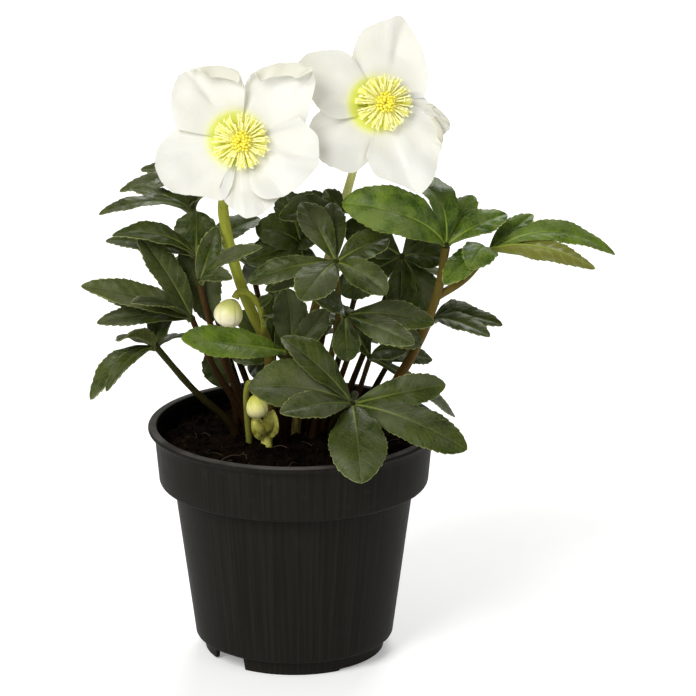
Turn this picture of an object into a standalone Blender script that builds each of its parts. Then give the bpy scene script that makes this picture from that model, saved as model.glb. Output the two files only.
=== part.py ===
"""A christmas rose in a round nursery pot.

It has a pot, soil, leaf stalks, divided leaves, two open blooms and two buds.

Sizes are in millimetres and turned into metres where a mesh is made. The origin is the middle of the pot's
underside, +Z is up and -Y is the side that the blooms face.
"""

import math

import bmesh
import bpy
from mathutils import Matrix, Vector, noise

MM = 0.001
GAP = 0.3

# Pot
POT_HEIGHT = 105.0
BEAD_RADIUS = 65.0
BAND_TOP_RADIUS = 62.2
BAND_FOOT_RADIUS = 60.2
BAND_FOOT_HEIGHT = 78.8
BODY_TOP_RADIUS = 53.6
BODY_FOOT_RADIUS = 44.4
BODY_FOOT_HEIGHT = 6.9
FOOT_RADIUS = 40.2
FOOT_WALL = 1.6
FLOOR_DISC_RADIUS = 26.0
GUTTER_HEIGHT = 5.6
WALL = 1.3
ROUND_STEPS = 28
DRAIN_HOLES = 6
DRAIN_RADIUS = 3.4
DRAIN_CIRCLE = 32.5
FOOT_NOTCHES = 2
NOTCH_CENTRE_ANGLE = -46.6
NOTCH_ANGLE = 26.0
NOTCH_HEIGHT = 5.3
RELIEF_ANGLE = 89.4
RELIEF_HEIGHT = 0.9

# Soil
SOIL_TOP = 96.0
SOIL_RINGS = (0.0, 20.0, 40.0, 57.0)
SOIL_BUMP = 1.9
HOLE_FLOOR = 84.0
HOLE_SIDES = 5
STALK_FOOT = 84.4
STRAIGHT_TOP = 100.0

# Leaves
BLADE_THICKNESS = 0.75
KNOB_RADIUS = 1.7
RIB_STATIONS = (0.0, 0.3, 0.65, 1.0)
EDGE_STATIONS = (0.0, 0.17, 0.38, 0.60, 0.65, 0.80, 0.85, 1.0)
NOTCH_STATIONS = (0.65, 0.85)
NOTCH_DEPTH = 0.14
SMALL_RIB_STATIONS = (0.0, 0.5, 1.0)
SMALL_EDGE_STATIONS = (0.0, 0.2, 0.45, 0.66, 0.73, 1.0)
SMALL_NOTCH_STATIONS = (0.73,)
SMALL_LEAFLET = 43.0
SHANK_HALF_WIDTH = 0.9
WAVE = 0.07
BLADE_FULLNESS = 0.62
POINTED_TIP = 1.15
BLUNT_TIP = 1.5
BLUNT_LEAVES = ("front", "front_left", "middle", "lower_middle", "dark_middle", "right_inner", "right_high")

# Each leaf: hub, the direction its upper side faces, and its leaflets as (tip, width, arch, roll, fold).
LEAVES = {
    "front": (
        (26, -32, 124),
        (0.0, -0.66, 0.75),
        (
            ((-19, -46, 136), 25.0, 5.0, 0, 0.10),
            ((-5, -60, 129), 14.0, 4.0, 0, 0.05),
            ((-5, -27, 153), 17.0, 4.0, 20, 0.20),
            ((30, -75, 102), 25.0, 6.0, 0, -0.12),
            ((67, -29, 132), 14.5, 4.0, 12, 0.15),
            ((76, -53, 110), 19.0, 6.0, 0, -0.15),
        ),
    ),
    "front_left": (
        (-2, -16, 143),
        (0.0, -0.66, 0.75),
        (
            ((-48, -42, 157), 17.0, 2.5, 0, 0.12),
            ((14, -24, 137), 10.0, 2.0, 0, 0.10),
        ),
    ),
    "dark_middle": (
        (-1, -6, 137),
        (0.0, -0.75, 0.66),
        (
            ((-3, 2, 167), 15.0, 2.0, 0, 0.15),
            ((15, -1, 158), 11.0, 2.0, 15, 0.20),
        ),
    ),
    "middle": (
        (19, -30, 188),
        (0.0, -0.70, 0.71),
        (
            ((4, -12, 210), 13.0, 2.0, 0, 0.15),
            ((17, -5, 208), 11.0, 1.0, 0, 0.15),
            ((42, -22, 197), 14.0, 3.0, 0, 0.12),
            ((41, -48, 179), 14.0, 4.0, 0, 0.10),
            ((4, -58, 179), 17.0, 4.0, 0, -0.10),
            ((-19, -34, 180), 11.0, 5.0, 0, 0.15),
            ((-12, -22, 173), 9.0, 3.0, 0, 0.10),
        ),
    ),
    "lower_middle": (
        (23, -20, 161),
        (0.0, -0.70, 0.71),
        (
            ((62, -26, 159), 13.0, 5.0, 0, 0.10),
            ((53, -40, 154), 12.0, 3.0, 0, -0.10),
            ((9, -38, 175), 13.0, 3.0, 0, 0.10),
            ((57, -8, 144), 13.0, 3.0, 10, 0.10),
            ((24, -24, 141), 12.0, 2.0, 0, 0.10),
        ),
    ),
    "left": (
        (-45, 2, 153),
        (-0.15, -0.50, 0.85),
        (
            ((-93, -12, 172), 13.0, 8.0, -15, 0.20),
            ((-69, 8, 191), 14.0, 2.0, 10, 0.22),
            ((-88, 8, 164), 8.0, 3.0, -20, 0.15),
            ((-70, -32, 170), 10.0, 3.0, 0, 0.15),
            ((-87, -2, 152), 10.0, 7.0, -10, 0.15),
            ((-78, 26, 160), 9.0, 3.0, 0, 0.15),
        ),
    ),
    "left_high": (
        (-43, 8, 180),
        (-0.15, -0.40, 0.90),
        (
            ((-80, 6, 190), 12.0, 8.0, 0, 0.15),
            ((-84, 26, 182), 11.0, 4.0, 0, 0.15),
            ((-43, 14, 199), 20.0, 1.5, 0, 0.15),
            ((-15, 24, 193), 15.0, 4.0, 0, 0.15),
        ),
    ),
    "left_arching": (
        (-45, 22, 197),
        (-0.1, -0.40, 0.90),
        (
            ((-86, 12, 198), 10.0, 6.0, 10, 0.15),
            ((-73, 30, 205), 7.0, 3.0, 0, 0.15),
            ((-52, 2, 212), 10.0, 3.0, 0, 0.15),
            ((-34, 8, 209), 9.0, 3.0, 0, 0.15),
            ((-37, 14, 147), 18.0, 3.0, 0, 0.12),
        ),
    ),
    "left_top": (
        (-48, 44, 205),
        (0.0, -0.40, 0.90),
        (
            ((-69, 48, 209), 9.0, 3.0, 0, 0.15),
            ((-78, 36, 202), 8.0, 4.0, 0, 0.15),
            ((-61, 22, 208), 9.0, 3.0, 0, 0.15),
            ((-38, 64, 211), 11.0, 3.0, 0, 0.15),
        ),
    ),
    "left_inner": (
        (-41, -20, 176),
        (-0.2, -0.70, 0.70),
        (
            ((-13, -34, 196), 9.0, 3.0, -20, 0.20),
            ((-33, -12, 199), 10.0, 2.0, 20, 0.20),
            ((-26, -38, 183), 8.0, 3.0, -10, 0.20),
        ),
    ),
    "lower_left": (
        (-61, -4, 142),
        (-0.4, -0.45, 0.80),
        (
            ((-90, -10, 119), 11.0, 8.0, -15, 0.15),
            ((-82, -26, 128), 8.0, 5.0, 0, 0.15),
            ((-76, -22, 150), 14.0, 4.0, 25, 0.15),
            ((-57, 10, 153), 12.0, 1.0, 0, 0.15),
            ((-46, 20, 138), 9.0, 3.0, 0, 0.15),
        ),
    ),
    "top_middle": (
        (21, 2, 202),
        (0.0, -0.70, 0.71),
        (
            ((-6, -12, 203), 13.0, 4.0, 0, 0.12),
            ((-2, 4, 206), 11.0, 2.0, 0, 0.12),
            ((14, 6, 211), 8.0, 2.0, 0, 0.12),
            ((42, 6, 206), 11.0, 3.0, 0, 0.12),
        ),
    ),
    "inner": (
        (3, 22, 182),
        (0.0, -0.72, 0.70),
        (
            ((-17, 20, 190), 18.0, 3.0, 0, 0.10),
            ((-21, 12, 176), 16.0, 3.0, 0, 0.10),
            ((-5, 32, 204), 15.0, 3.0, 0, 0.10),
            ((-24, 38, 160), 16.0, 3.0, 0, 0.10),
            ((4, 8, 166), 13.0, 2.0, 0, 0.10),
            ((13, 9, 189), 14.0, 2.0, 0, 0.10),
        ),
    ),
    "deep_left": (
        (-9, 27, 130),
        (0.0, -0.75, 0.66),
        (
            ((-25, 25, 149), 14.0, 2.0, 0, 0.10),
            ((5, 30, 152), 12.0, 2.0, 0, 0.10),
            ((-28, 19, 129), 12.0, 3.0, 0, 0.10),
            ((-9, 32, 158), 13.0, 2.0, 0, 0.10),
            ((17, 33, 141), 13.0, 3.0, 0, 0.10),
            ((-20, 33, 117), 12.0, 3.0, 0, 0.10),
            ((4, 36, 121), 12.0, 3.0, 0, 0.10),
        ),
    ),
    "right_high": (
        (67, -14, 191),
        (-0.05, -0.55, 0.83),
        (
            ((21.5, -24, 213), 24.0, 13.0, -12, 0.10),
            ((51, 6, 215), 18.0, 12.0, 26, 0.25),
            ((94, -2, 202), 13.0, 4.0, 0, 0.12),
            ((79, 4, 209), 12.0, 2.0, 0, 0.15),
        ),
    ),
    "right_tip": (
        (86, -4, 185),
        (0.1, -0.50, 0.85),
        (
            ((142, 0, 183), 12.0, 13.0, 0, 0.15),
            ((132, -20, 182), 12.0, -9.0, 180, 0.15),
            ((106, 12, 198), 10.0, 3.0, 0, 0.15),
            ((77, -30, 185), 15.0, 6.0, 0, -0.15),
            ((66, -23, 176), 13.0, 4.0, 0, 0.10),
        ),
    ),
    "right_inner": (
        (48, 14, 178),
        (0.1, -0.70, 0.70),
        (
            ((22, 7, 194), 19.0, 3.0, 0, 0.10),
            ((66, 24, 186), 16.0, 3.0, 0, 0.10),
            ((67, 10, 178), 14.0, 3.0, 0, 0.10),
            ((60, 2, 153), 17.0, 3.0, 0, 0.10),
            ((21, 9, 162), 18.0, 3.0, 0, 0.10),
            ((46, 4, 154), 13.0, 4.0, 0, 0.10),
        ),
    ),
    "lower_right": (
        (34, 2, 135),
        (0.1, -0.60, 0.79),
        (
            ((62, 18, 129), 11.0, 3.0, 0, 0.10),
            ((50, -13, 142), 15.0, 3.0, 0, 0.10),
            ((15, 19, 155), 14.0, 3.0, 0, 0.10),
            ((73, 36, 96), 8.0, 4.0, 0, 0.10),
        ),
    ),
    "right_low": (
        (62, 14, 149),
        (0.1, -0.50, 0.85),
        (
            ((93, 8, 148), 10.0, 4.0, 0, 0.12),
            ((87, -6, 147), 10.0, 4.0, 0, 0.12),
            ((84, 34, 146), 11.0, 4.0, 0, 0.12),
        ),
    ),
    "left_low": (
        (-30, 22, 114),
        (-0.2, -0.70, 0.68),
        (
            ((-38, 26, 131), 13.0, 2.0, 0, 0.10),
            ((-37, 38, 122), 11.0, 3.0, 0, 0.10),
        ),
    ),
    "back_left": (
        (-20, 50, 165),
        (0.0, 0.45, 0.89),
        (
            ((-58, 64, 160), 14.0, 5.0, 0, 0.12),
            ((-36, 82, 158), 15.0, 5.0, 0, 0.12),
            ((-6, 88, 160), 15.0, 5.0, 0, 0.12),
            ((8, 66, 172), 13.0, 4.0, 0, 0.12),
        ),
    ),
    "back_right": (
        (30, 48, 160),
        (0.1, 0.45, 0.89),
        (
            ((14, 82, 150), 14.0, 5.0, 0, 0.12),
            ((44, 84, 148), 15.0, 5.0, 0, 0.12),
            ((70, 62, 154), 15.0, 5.0, 0, 0.12),
            ((52, 36, 168), 12.0, 3.0, 0, 0.12),
        ),
    ),
    "back_low": (
        (6, 50, 130),
        (0.0, 0.50, 0.87),
        (
            ((-18, 76, 118), 13.0, 4.0, 0, 0.12),
            ((8, 88, 114), 15.0, 5.0, 0, 0.12),
            ((38, 72, 120), 14.0, 4.0, 0, 0.12),
        ),
    ),
}

# Each stalk: its place in the soil, the points it passes, its foot radius and its top radius.
STALKS = {
    "front": ((17, 9), ((27, -9, 121),), 1.7, 1.2),
    "front_left": ((-5, 0), ((-6, -8, 125),), 1.6, 1.2),
    "dark_middle": ((-6, 7), ((-3, 3, 130),), 1.5, 1.1),
    "middle": ((9, 4), ((17, -2, 138), (20, -12, 160)), 1.6, 1.2),
    "lower_middle": ((14, 14), ((25, 0, 138), (27, -10, 152)), 1.5, 1.1),
    "left": ((-21, 12), ((-36, 6, 130),), 1.7, 1.2),
    "left_high": ((-19, 18), ((-38, 12, 150),), 1.6, 1.2),
    "left_arching": ((-16, 24), ((-39, 31, 165),), 1.6, 1.2),
    "left_top": ((-22, 31), ((-40, 40, 160),), 1.5, 1.1),
    "left_inner": ((-19, 6), ((-34, -8, 145),), 1.5, 1.1),
    "lower_left": ((-27, 7), ((-45, 0, 121),), 1.8, 1.4),
    "top_middle": ((5, 15), ((16, 8, 160),), 1.6, 1.2),
    "inner": ((-4, 18), ((2, 18, 150),), 1.5, 1.1),
    "deep_left": ((-11, 29), ((-10, 29, 112),), 1.4, 1.1),
    "right_high": ((34, 12), ((53, -2, 138), (63, -9, 166)), 2.4, 1.8),
    "right_inner": ((20, 20), ((36, 16, 145),), 1.6, 1.2),
    "lower_right": ((24, 6), ((29, 4, 118),), 1.4, 1.1),
    "right_low": ((30, 22), ((46, 27, 130),), 1.5, 1.1),
    "left_low": ((-26, 20), ((-27, 21, 106),), 1.4, 1.1),
    "back_left": ((-5, 34), ((-12, 44, 130),), 1.6, 1.2),
    "back_right": ((14, 32), ((22, 42, 130),), 1.6, 1.2),
    "back_low": ((4, 38), ((5, 44, 116),), 1.5, 1.1),
}

# Where the right tip's stalk leaves the tall right one
FORK_TURN = (1, 0, -2)
FORK_RADII = (1.5, 1.2)

# Blooms
SEPAL_THICKNESS = 0.8
SEPAL_RAYS = 8
SEPAL_RINGS = (0.25, 0.65, 1.0)
SEPAL_CUP = 5.0
SEPAL_WAVE = 0.8
RECEPTACLE_RADII = (3.2, 5.8)
RECEPTACLE_BACK = -2.4
RECEPTACLE_FRONT = 0.5
RING_RADIUS = 7.2
RING_BORE = 5.0
RING_BACK = 0.9
RING_FRONT = 1.9
NECTARIES = 9
NECTARY_REACH = (6.2, 12.4)
NECTARY_HEIGHTS = (1.7, 3.6)
NECTARY_RADII = (0.6, 1.1)
STAMENS = 16
INNER_STAMENS = 5
STAMEN_BASE_RADII = (4.4, 3.4)
STAMEN_BASE_FRONT = 3.4
STAMEN_FOOT = (2.4, 2.6)
LONG_STAMEN = (10.2, 6.6)
SHORT_STAMEN = (8.2, 8.4)
INNER_STAMEN = (5.6, 8.6)
STYLES = 3
STYLE_FOOT = (1.2, 2.8)
STYLE_TIP = (2.0, 9.4)
STYLE_RADII = (1.0, 0.45)
FILAMENT_RADIUS = 0.45
ANTHER_RADIUS = 1.0
ANTHER_LENGTH = 2.8

# Each sepal: its level in front of the bloom's plane, its tilt from edge to edge, and its outline.
BLOOM_1_CENTRE = (-21.7, -30, 241.8)
BLOOM_1_FACING = (0.0, -0.956, 0.292)
BLOOM_1_SEPALS = {
    "upper_left": (
        1.6,
        0.6,
        (
            (-27.5, 5.3), (-30.1, 15.5), (-27.9, 26.6), (-22.2, 30.6), (-11.1, 32.3),
            (-1.8, 30.1), (1.8, 23.0),
        ),
    ),
    "upper_right": (
        0.0,
        0.6,
        (
            (0.6, 22.0), (4.4, 28.8), (13.3, 32.8), (22.2, 33.7), (29.2, 31.5),
            (31.9, 26.6), (30.1, 16.5), (27.5, 7.5),
        ),
    ),
    "right": (
        1.8,
        0.0,
        (
            (25.0, 10.5), (32.8, 2.2), (33.4, -4.4), (33.2, -9.7), (29.2, -14.8),
            (23.5, -20.4), (17.7, -23.6), (9.7, -24.6), (4.4, -21.0),
        ),
    ),
    "bottom": (
        -1.2,
        0.0,
        ((-9.5, -19.0), (-7.0, -25.8), (-2.2, -30.1), (2.2, -32.8), (9.7, -30.6), (16.4, -24.0)),
    ),
    "left": (
        -0.6,
        0.0,
        (
            (-25.0, 8.0), (-33.2, 0.9), (-36.3, -4.4), (-36.8, -11.1), (-33.2, -18.6),
            (-27.5, -22.2), (-17.7, -23.4), (-8.0, -25.0), (-4.0, -19.0),
        ),
    ),
}
BLOOM_2_CENTRE = (39.3, -12, 254.7)
BLOOM_2_FACING = (0.17, -0.943, 0.288)
BLOOM_2_SEPALS = {
    "top": (
        -0.4,
        0.0,
        (
            (-13.0, 20.0), (-8.9, 30.6), (-2.2, 34.1), (4.4, 36.3), (8.6, 37.2),
            (12.4, 33.7), (16.8, 24.8), (19.8, 16.0), (20.2, 8.4), (18.0, 1.5),
        ),
    ),
    "upper_left": (
        1.8,
        0.0,
        (
            (-12.5, 19.5), (-17.9, 23.0), (-24.8, 23.5), (-31.6, 22.6), (-36.9, 19.5),
            (-38.3, 14.2), (-34.7, 7.1), (-31.4, 1.8), (-27.2, -3.5), (-21.4, -6.2),
            (-13.0, -5.6),
        ),
    ),
    "lower_left": (
        -0.2,
        0.0,
        (
            (-25.0, 0.5), (-32.2, -6.2), (-33.6, -11.5), (-32.4, -19.1), (-28.3, -24.8),
            (-21.5, -28.4), (-14.8, -29.7), (-8.0, -25.0),
        ),
    ),
    "bottom": (
        1.6,
        0.0,
        (
            (-9.3, -23.0), (-5.8, -31.0), (1.3, -34.6), (8.2, -37.7), (12.6, -40.3),
            (17.9, -35.9), (21.1, -29.2), (23.3, -20.4), (24.4, -13.7), (20.8, -6.6),
            (13.5, -1.5),
        ),
    ),
    "right": (
        -1.6,
        0.0,
        ((16.0, 4.5), (20.8, -1.0), (25.2, -5.4), (28.0, -10.6), (24.4, -16.0), (17.0, -14.0)),
    ),
}

# Bloom stems and buds
STRAIGHT_BEHIND = 3.5
STEM_1 = (
    (-11, 12),
    (
        (-11, 8, 135), (-19, 0, 158), (-25, -7, 178), (-29.5, -12, 200),
        (-30, -15, 213), (-26, -21, 230),
    ),
)
STEM_1_RADII = (2.7, 2.1)
STEM_2 = ((1, 9), ((6, 8, 140), (17, 14, 183), (23.5, 13, 207), (30.5, 4, 233)))
STEM_2_RADII = (2.2, 1.6)
PEDICEL_RADII = (1.5, 1.2)
BUD_2_STEM_RADII = (1.4, 1.1)
BUD_1_CENTRE = (-28, -18, 161.5)
BUD_1_RADIUS = 6.3
BUD_1_LENGTH = 12.8
BUD_1_LEAN = (0.4, 0.2, 0.9)
BUD_1_PEDICEL = (
    (-14, 5, 144), (-13, -3, 152), (-15, -9, 162), (-19.5, -13.5, 169),
    (-23.8, -15.8, 170.4), (-25.3, -16.6, 167.7),
)
BRACTS = (((-15, -9, 162), (-9, -14, 168)), ((-13, -4, 153), (-9, -13, 158)))
BRACT_WIDTH = 4.5
BRACT_FACING = (0.3, -0.7, 0.6)
BRACT_ARCH = 1.5
BRACT_FOLD = 0.3
BUD_2_CENTRE = (-16, -17, 118)
BUD_2_RADIUS = 4.8
BUD_2_LENGTH = 11.0
BUD_2_LEAN = (-0.1, 0.3, 1.0)
BUD_2_STEM = ((-20, -3), ((-21, -8, 118), (-20, -12, 127), (-17.5, -15, 127.8), (-16.5, -15.4, 124.2)))
SHOOT_PLACE = (-12, -5)
SHOOTS = ((-18, -12, 111), (-9, -13, 115))
SHOOT_WIDTH = 8.0
SHOOT_FACING = (0.0, -0.9, 0.4)
SHOOT_RADII = (2.4, 2.0)

COLOURS = {
    "pot": ((0.022, 0.021, 0.019), 0.55),
    "soil": ((0.020, 0.013, 0.008), 0.95),
    "leaf": ((0.026, 0.050, 0.014), 0.42),
    "young_leaf": ((0.060, 0.125, 0.020), 0.40),
    "stalk": ((0.110, 0.050, 0.022), 0.50),
    "stem": ((0.190, 0.240, 0.060), 0.45),
    "sepal": ((0.850, 0.830, 0.750), 0.55),
    "nectary": ((0.420, 0.560, 0.060), 0.45),
    "stamen": ((0.800, 0.760, 0.250), 0.60),
    "bud": ((0.560, 0.600, 0.300), 0.50),
}
YOUNG_LEAVES = ("right_high", "right_tip", "front_left")


def clear_scene():
    for old in list(bpy.data.objects):
        bpy.data.objects.remove(old)


def new_collection(name, hidden=False):
    made = bpy.data.collections.new(name)
    made.hide_render = hidden
    bpy.context.scene.collection.children.link(made)
    return made


def new_material(name):
    colour, roughness = COLOURS[name]
    made = bpy.data.materials.new(name)
    made.use_nodes = True
    shader = made.node_tree.nodes["Principled BSDF"]
    shader.inputs["Base Color"].default_value = (*colour, 1.0)
    shader.inputs["Roughness"].default_value = roughness
    shader.inputs["Metallic"].default_value = 0.0
    return made


def mesh_object(name, bm, collection):
    """An object whose mesh is bm, which is in millimetres."""
    bmesh.ops.scale(bm, vec=(MM, MM, MM), verts=bm.verts)
    bmesh.ops.recalc_face_normals(bm, faces=bm.faces)
    mesh = bpy.data.meshes.new(name)
    bm.to_mesh(mesh)
    bm.free()
    made = bpy.data.objects.new(name, mesh)
    collection.objects.link(made)
    return made


def baked(obj, name, collection):
    """Replaces a curve, or an object with modifiers, by a welded plain mesh object."""
    graph = bpy.context.evaluated_depsgraph_get()
    mesh = bpy.data.meshes.new_from_object(obj.evaluated_get(graph))
    made = bpy.data.objects.new(name, mesh)
    made.matrix_world = obj.matrix_world
    collection.objects.link(made)
    bpy.data.objects.remove(obj)
    bm = bmesh.new()
    bm.from_mesh(mesh)
    bmesh.ops.remove_doubles(bm, verts=bm.verts, dist=1e-6)
    bm.to_mesh(mesh)
    bm.free()
    return made


def finish(obj, name, material):
    """Gives a piece its name, its material and the model's collection."""
    obj.name = name
    obj.data.name = name
    obj.data.materials.clear()
    obj.data.materials.append(MATERIALS[material])
    for holder in list(obj.users_collection):
        holder.objects.unlink(obj)
    MODEL.objects.link(obj)
    if obj.type == "MESH":
        obj.data.shade_smooth()
        obj.data.set_sharp_from_angle(angle=math.radians(40.0))
    return obj


def combined(first, others, operation="UNION", solver="EXACT"):
    """One mesh of the first object with all the others joined to it or cut from it."""
    group = bpy.data.collections.new("group")
    bpy.context.scene.collection.children.link(group)
    for other in others:
        for holder in list(other.users_collection):
            holder.objects.unlink(other)
        group.objects.link(other)
    cut = first.modifiers.new("combine", "BOOLEAN")
    cut.operation = operation
    cut.solver = solver
    cut.operand_type = "COLLECTION"
    cut.collection = group
    made = baked(first, first.name + "_combined", bpy.context.scene.collection)
    for other in list(group.objects):
        bpy.data.objects.remove(other)
    bpy.data.collections.remove(group)
    return made


def turned(name, profile):
    """A profile of (radius, height) turned round the Z axis."""
    bm = bmesh.new()
    corners = [bm.verts.new((radius, 0.0, height)) for radius, height in profile]
    for first, second in zip(corners, corners[1:]):
        bm.edges.new((first, second))
    obj = mesh_object(name, bm, GUIDES)
    screw = obj.modifiers.new("turn", "SCREW")
    screw.steps = ROUND_STEPS
    screw.render_steps = ROUND_STEPS
    screw.use_merge_vertices = True
    screw.merge_threshold = 1e-5
    return baked(obj, name, GUIDES)


def tube(name, points, foot_radius, top_radius):
    """A six-sided stalk along the points, thinner towards its top."""
    curve = bpy.data.curves.new(name, "CURVE")
    curve.dimensions = "3D"
    curve.bevel_depth = MM
    curve.bevel_resolution = 1
    curve.use_fill_caps = True
    spline = curve.splines.new("POLY")
    spline.points.add(len(points) - 1)
    for index, point in enumerate(points):
        share = index / (len(points) - 1)
        spline.points[index].co = (*(Vector(point) * MM), 1.0)
        spline.points[index].radius = foot_radius + (top_radius - foot_radius) * share
    made = bpy.data.objects.new(name, curve)
    GUIDES.objects.link(made)
    return made


def smooth_route(points, count):
    """Count points on a smooth curve that passes the given points."""
    knots = [Vector(point) for point in points]
    knots.insert(0, knots[0] * 2 - knots[1])
    knots.append(knots[-1] * 2 - knots[-2])
    pieces = len(knots) - 3
    route = []
    for index in range(count):
        place = pieces * index / (count - 1)
        piece = min(int(place), pieces - 1)
        t = place - piece
        a, b, c, d = knots[piece : piece + 4]
        route.append(
            0.5
            * (
                2 * b
                + (c - a) * t
                + (2 * a - 5 * b + 4 * c - d) * t**2
                + (3 * b - a - 3 * c + d) * t**3
            )
        )
    return route


def pot_profile():
    ledge_inside = BODY_TOP_RADIUS - WALL
    body_foot_inside = BODY_FOOT_RADIUS - WALL
    gutter_floor = GUTTER_HEIGHT + WALL
    foot_inside = FOOT_RADIUS - FOOT_WALL
    return (
        (BEAD_RADIUS - 1.2, POT_HEIGHT),
        (BEAD_RADIUS, POT_HEIGHT - 1.0),
        (BEAD_RADIUS - 0.4, POT_HEIGHT - 2.6),
        (BAND_TOP_RADIUS, POT_HEIGHT - 3.6),
        (BAND_FOOT_RADIUS, BAND_FOOT_HEIGHT + 0.6),
        (BAND_FOOT_RADIUS - 0.6, BAND_FOOT_HEIGHT),
        (BODY_TOP_RADIUS, BAND_FOOT_HEIGHT),
        (BODY_FOOT_RADIUS, BODY_FOOT_HEIGHT + 0.8),
        (BODY_FOOT_RADIUS - 0.9, BODY_FOOT_HEIGHT),
        (FOOT_RADIUS + 0.4, BODY_FOOT_HEIGHT - 0.4),
        (FOOT_RADIUS, 0.0),
        (foot_inside, 0.0),
        (foot_inside, GUTTER_HEIGHT),
        (FLOOR_DISC_RADIUS + 0.8, GUTTER_HEIGHT),
        (FLOOR_DISC_RADIUS, 0.0),
        (0.0, 0.0),
        (0.0, WALL),
        (FLOOR_DISC_RADIUS - 1.0, WALL),
        (FLOOR_DISC_RADIUS - 0.2, gutter_floor),
        (foot_inside, gutter_floor),
        (body_foot_inside, BODY_FOOT_HEIGHT + 1.6),
        (ledge_inside, BAND_FOOT_HEIGHT + WALL),
        (BAND_FOOT_RADIUS - WALL, BAND_FOOT_HEIGHT + WALL),
        (BAND_TOP_RADIUS - WALL, POT_HEIGHT - 3.6),
        (BAND_TOP_RADIUS - WALL + 0.4, POT_HEIGHT),
        (BEAD_RADIUS - 1.2, POT_HEIGHT),
    )


def ring_sector(name, inner, outer, bottom, top, start_angle, end_angle):
    """A block between two radii and two angles, measured from the front towards +X."""
    steps = 4
    bm = bmesh.new()
    rows = []
    for index in range(steps):
        angle = math.radians(start_angle + (end_angle - start_angle) * index / (steps - 1))
        across = Vector((math.sin(angle), -math.cos(angle), 0.0))
        corners = ((inner, bottom), (outer, bottom), (outer, top), (inner, top))
        rows.append([bm.verts.new(across * radius + Vector((0, 0, height))) for radius, height in corners])
    for row, following in zip(rows, rows[1:]):
        for side in range(4):
            bm.faces.new((row[side], row[side - 1], following[side - 1], following[side]))
    bm.faces.new(rows[0])
    bm.faces.new(reversed(rows[-1]))
    return mesh_object(name, bm, GUIDES)


def upright_cutter(name, x, y, radius, bottom, top, sides):
    bm = bmesh.new()
    bmesh.ops.create_cone(
        bm,
        cap_ends=True,
        segments=sides,
        radius1=radius,
        radius2=radius,
        depth=top - bottom,
        matrix=Matrix.Translation((x, y, (top + bottom) / 2)),
    )
    return mesh_object(name, bm, GUIDES)


def make_pot():
    pot = turned("pot", pot_profile())
    cutters = []
    inner = FLOOR_DISC_RADIUS + 3.0
    for index in range(FOOT_NOTCHES):
        middle = NOTCH_CENTRE_ANGLE + index * 360 / FOOT_NOTCHES
        before = middle - NOTCH_ANGLE / 2
        after = middle + NOTCH_ANGLE / 2
        cutters.append(ring_sector("notch", inner, FOOT_RADIUS + 5, -1.0, NOTCH_HEIGHT, before, after))
        relief = (before - RELIEF_ANGLE, before + 1.0)
        cutters.append(ring_sector("relief", inner, FOOT_RADIUS + 5, -2.0, RELIEF_HEIGHT, *relief))
    for index in range(DRAIN_HOLES):
        angle = math.tau * (index + 0.5) / DRAIN_HOLES
        x = DRAIN_CIRCLE * math.cos(angle)
        y = DRAIN_CIRCLE * math.sin(angle)
        cutters.append(upright_cutter("drain", x, y, DRAIN_RADIUS, -3.0, GUTTER_HEIGHT + WALL + 3.0, 10))
    finish(combined(pot, cutters, "DIFFERENCE"), "pot", "pot")


def soil_profile():
    inside_top = BAND_TOP_RADIUS - WALL - GAP * 2
    inside_ledge = BODY_TOP_RADIUS - WALL - GAP
    rings = [(radius, SOIL_TOP) for radius in SOIL_RINGS]
    return rings + [
        (inside_top - 0.6, SOIL_TOP - 1.5),
        (BAND_FOOT_RADIUS - WALL - GAP, BAND_FOOT_HEIGHT + WALL + GAP),
        (inside_ledge, BAND_FOOT_HEIGHT + WALL + GAP),
        (BODY_FOOT_RADIUS - WALL - GAP, BODY_FOOT_HEIGHT + 1.6 + GAP * 2),
        (FOOT_RADIUS - FOOT_WALL - GAP, GUTTER_HEIGHT + WALL + GAP),
        (FLOOR_DISC_RADIUS - 0.6, GUTTER_HEIGHT + WALL + GAP),
        (FLOOR_DISC_RADIUS - 1.4, WALL + GAP),
        (0.0, WALL + GAP),
    ]


def soil_places():
    """Every stalk and stem that stands in the soil, with its foot radius."""
    places = [(place, foot) for place, _, foot, _ in STALKS.values()]
    places.append((STEM_1[0], STEM_1_RADII[0]))
    places.append((STEM_2[0], STEM_2_RADII[0]))
    places.append((BUD_2_STEM[0], BUD_2_STEM_RADII[0]))
    places.append((SHOOT_PLACE, SHOOT_RADII[0]))
    return places


def make_soil():
    soil = turned("soil", soil_profile())
    for vertex in soil.data.vertices:
        reach = math.hypot(vertex.co.x, vertex.co.y) / MM
        if vertex.co.z > (SOIL_TOP - 0.1) * MM and reach < 59.0:
            bump = noise.noise(vertex.co * 90.0) + 0.6 * noise.noise(vertex.co * 210.0)
            vertex.co.z += SOIL_BUMP * bump * MM
    cutters = []
    for (x, y), foot in soil_places():
        radius = (foot + GAP) / math.cos(math.pi / HOLE_SIDES)
        cutters.append(upright_cutter("hole", x, y, radius, HOLE_FLOOR, 110.0, HOLE_SIDES))
    finish(combined(soil, cutters, "DIFFERENCE"), "soil", "soil")


def blade_half_width(share, width, tip_shape):
    """Half the width of a leaflet at this share of its length. A larger tip shape makes its tip blunter."""
    return (width / 2) * max(math.sin(math.pi * share**tip_shape), 0.0) ** BLADE_FULLNESS


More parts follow.
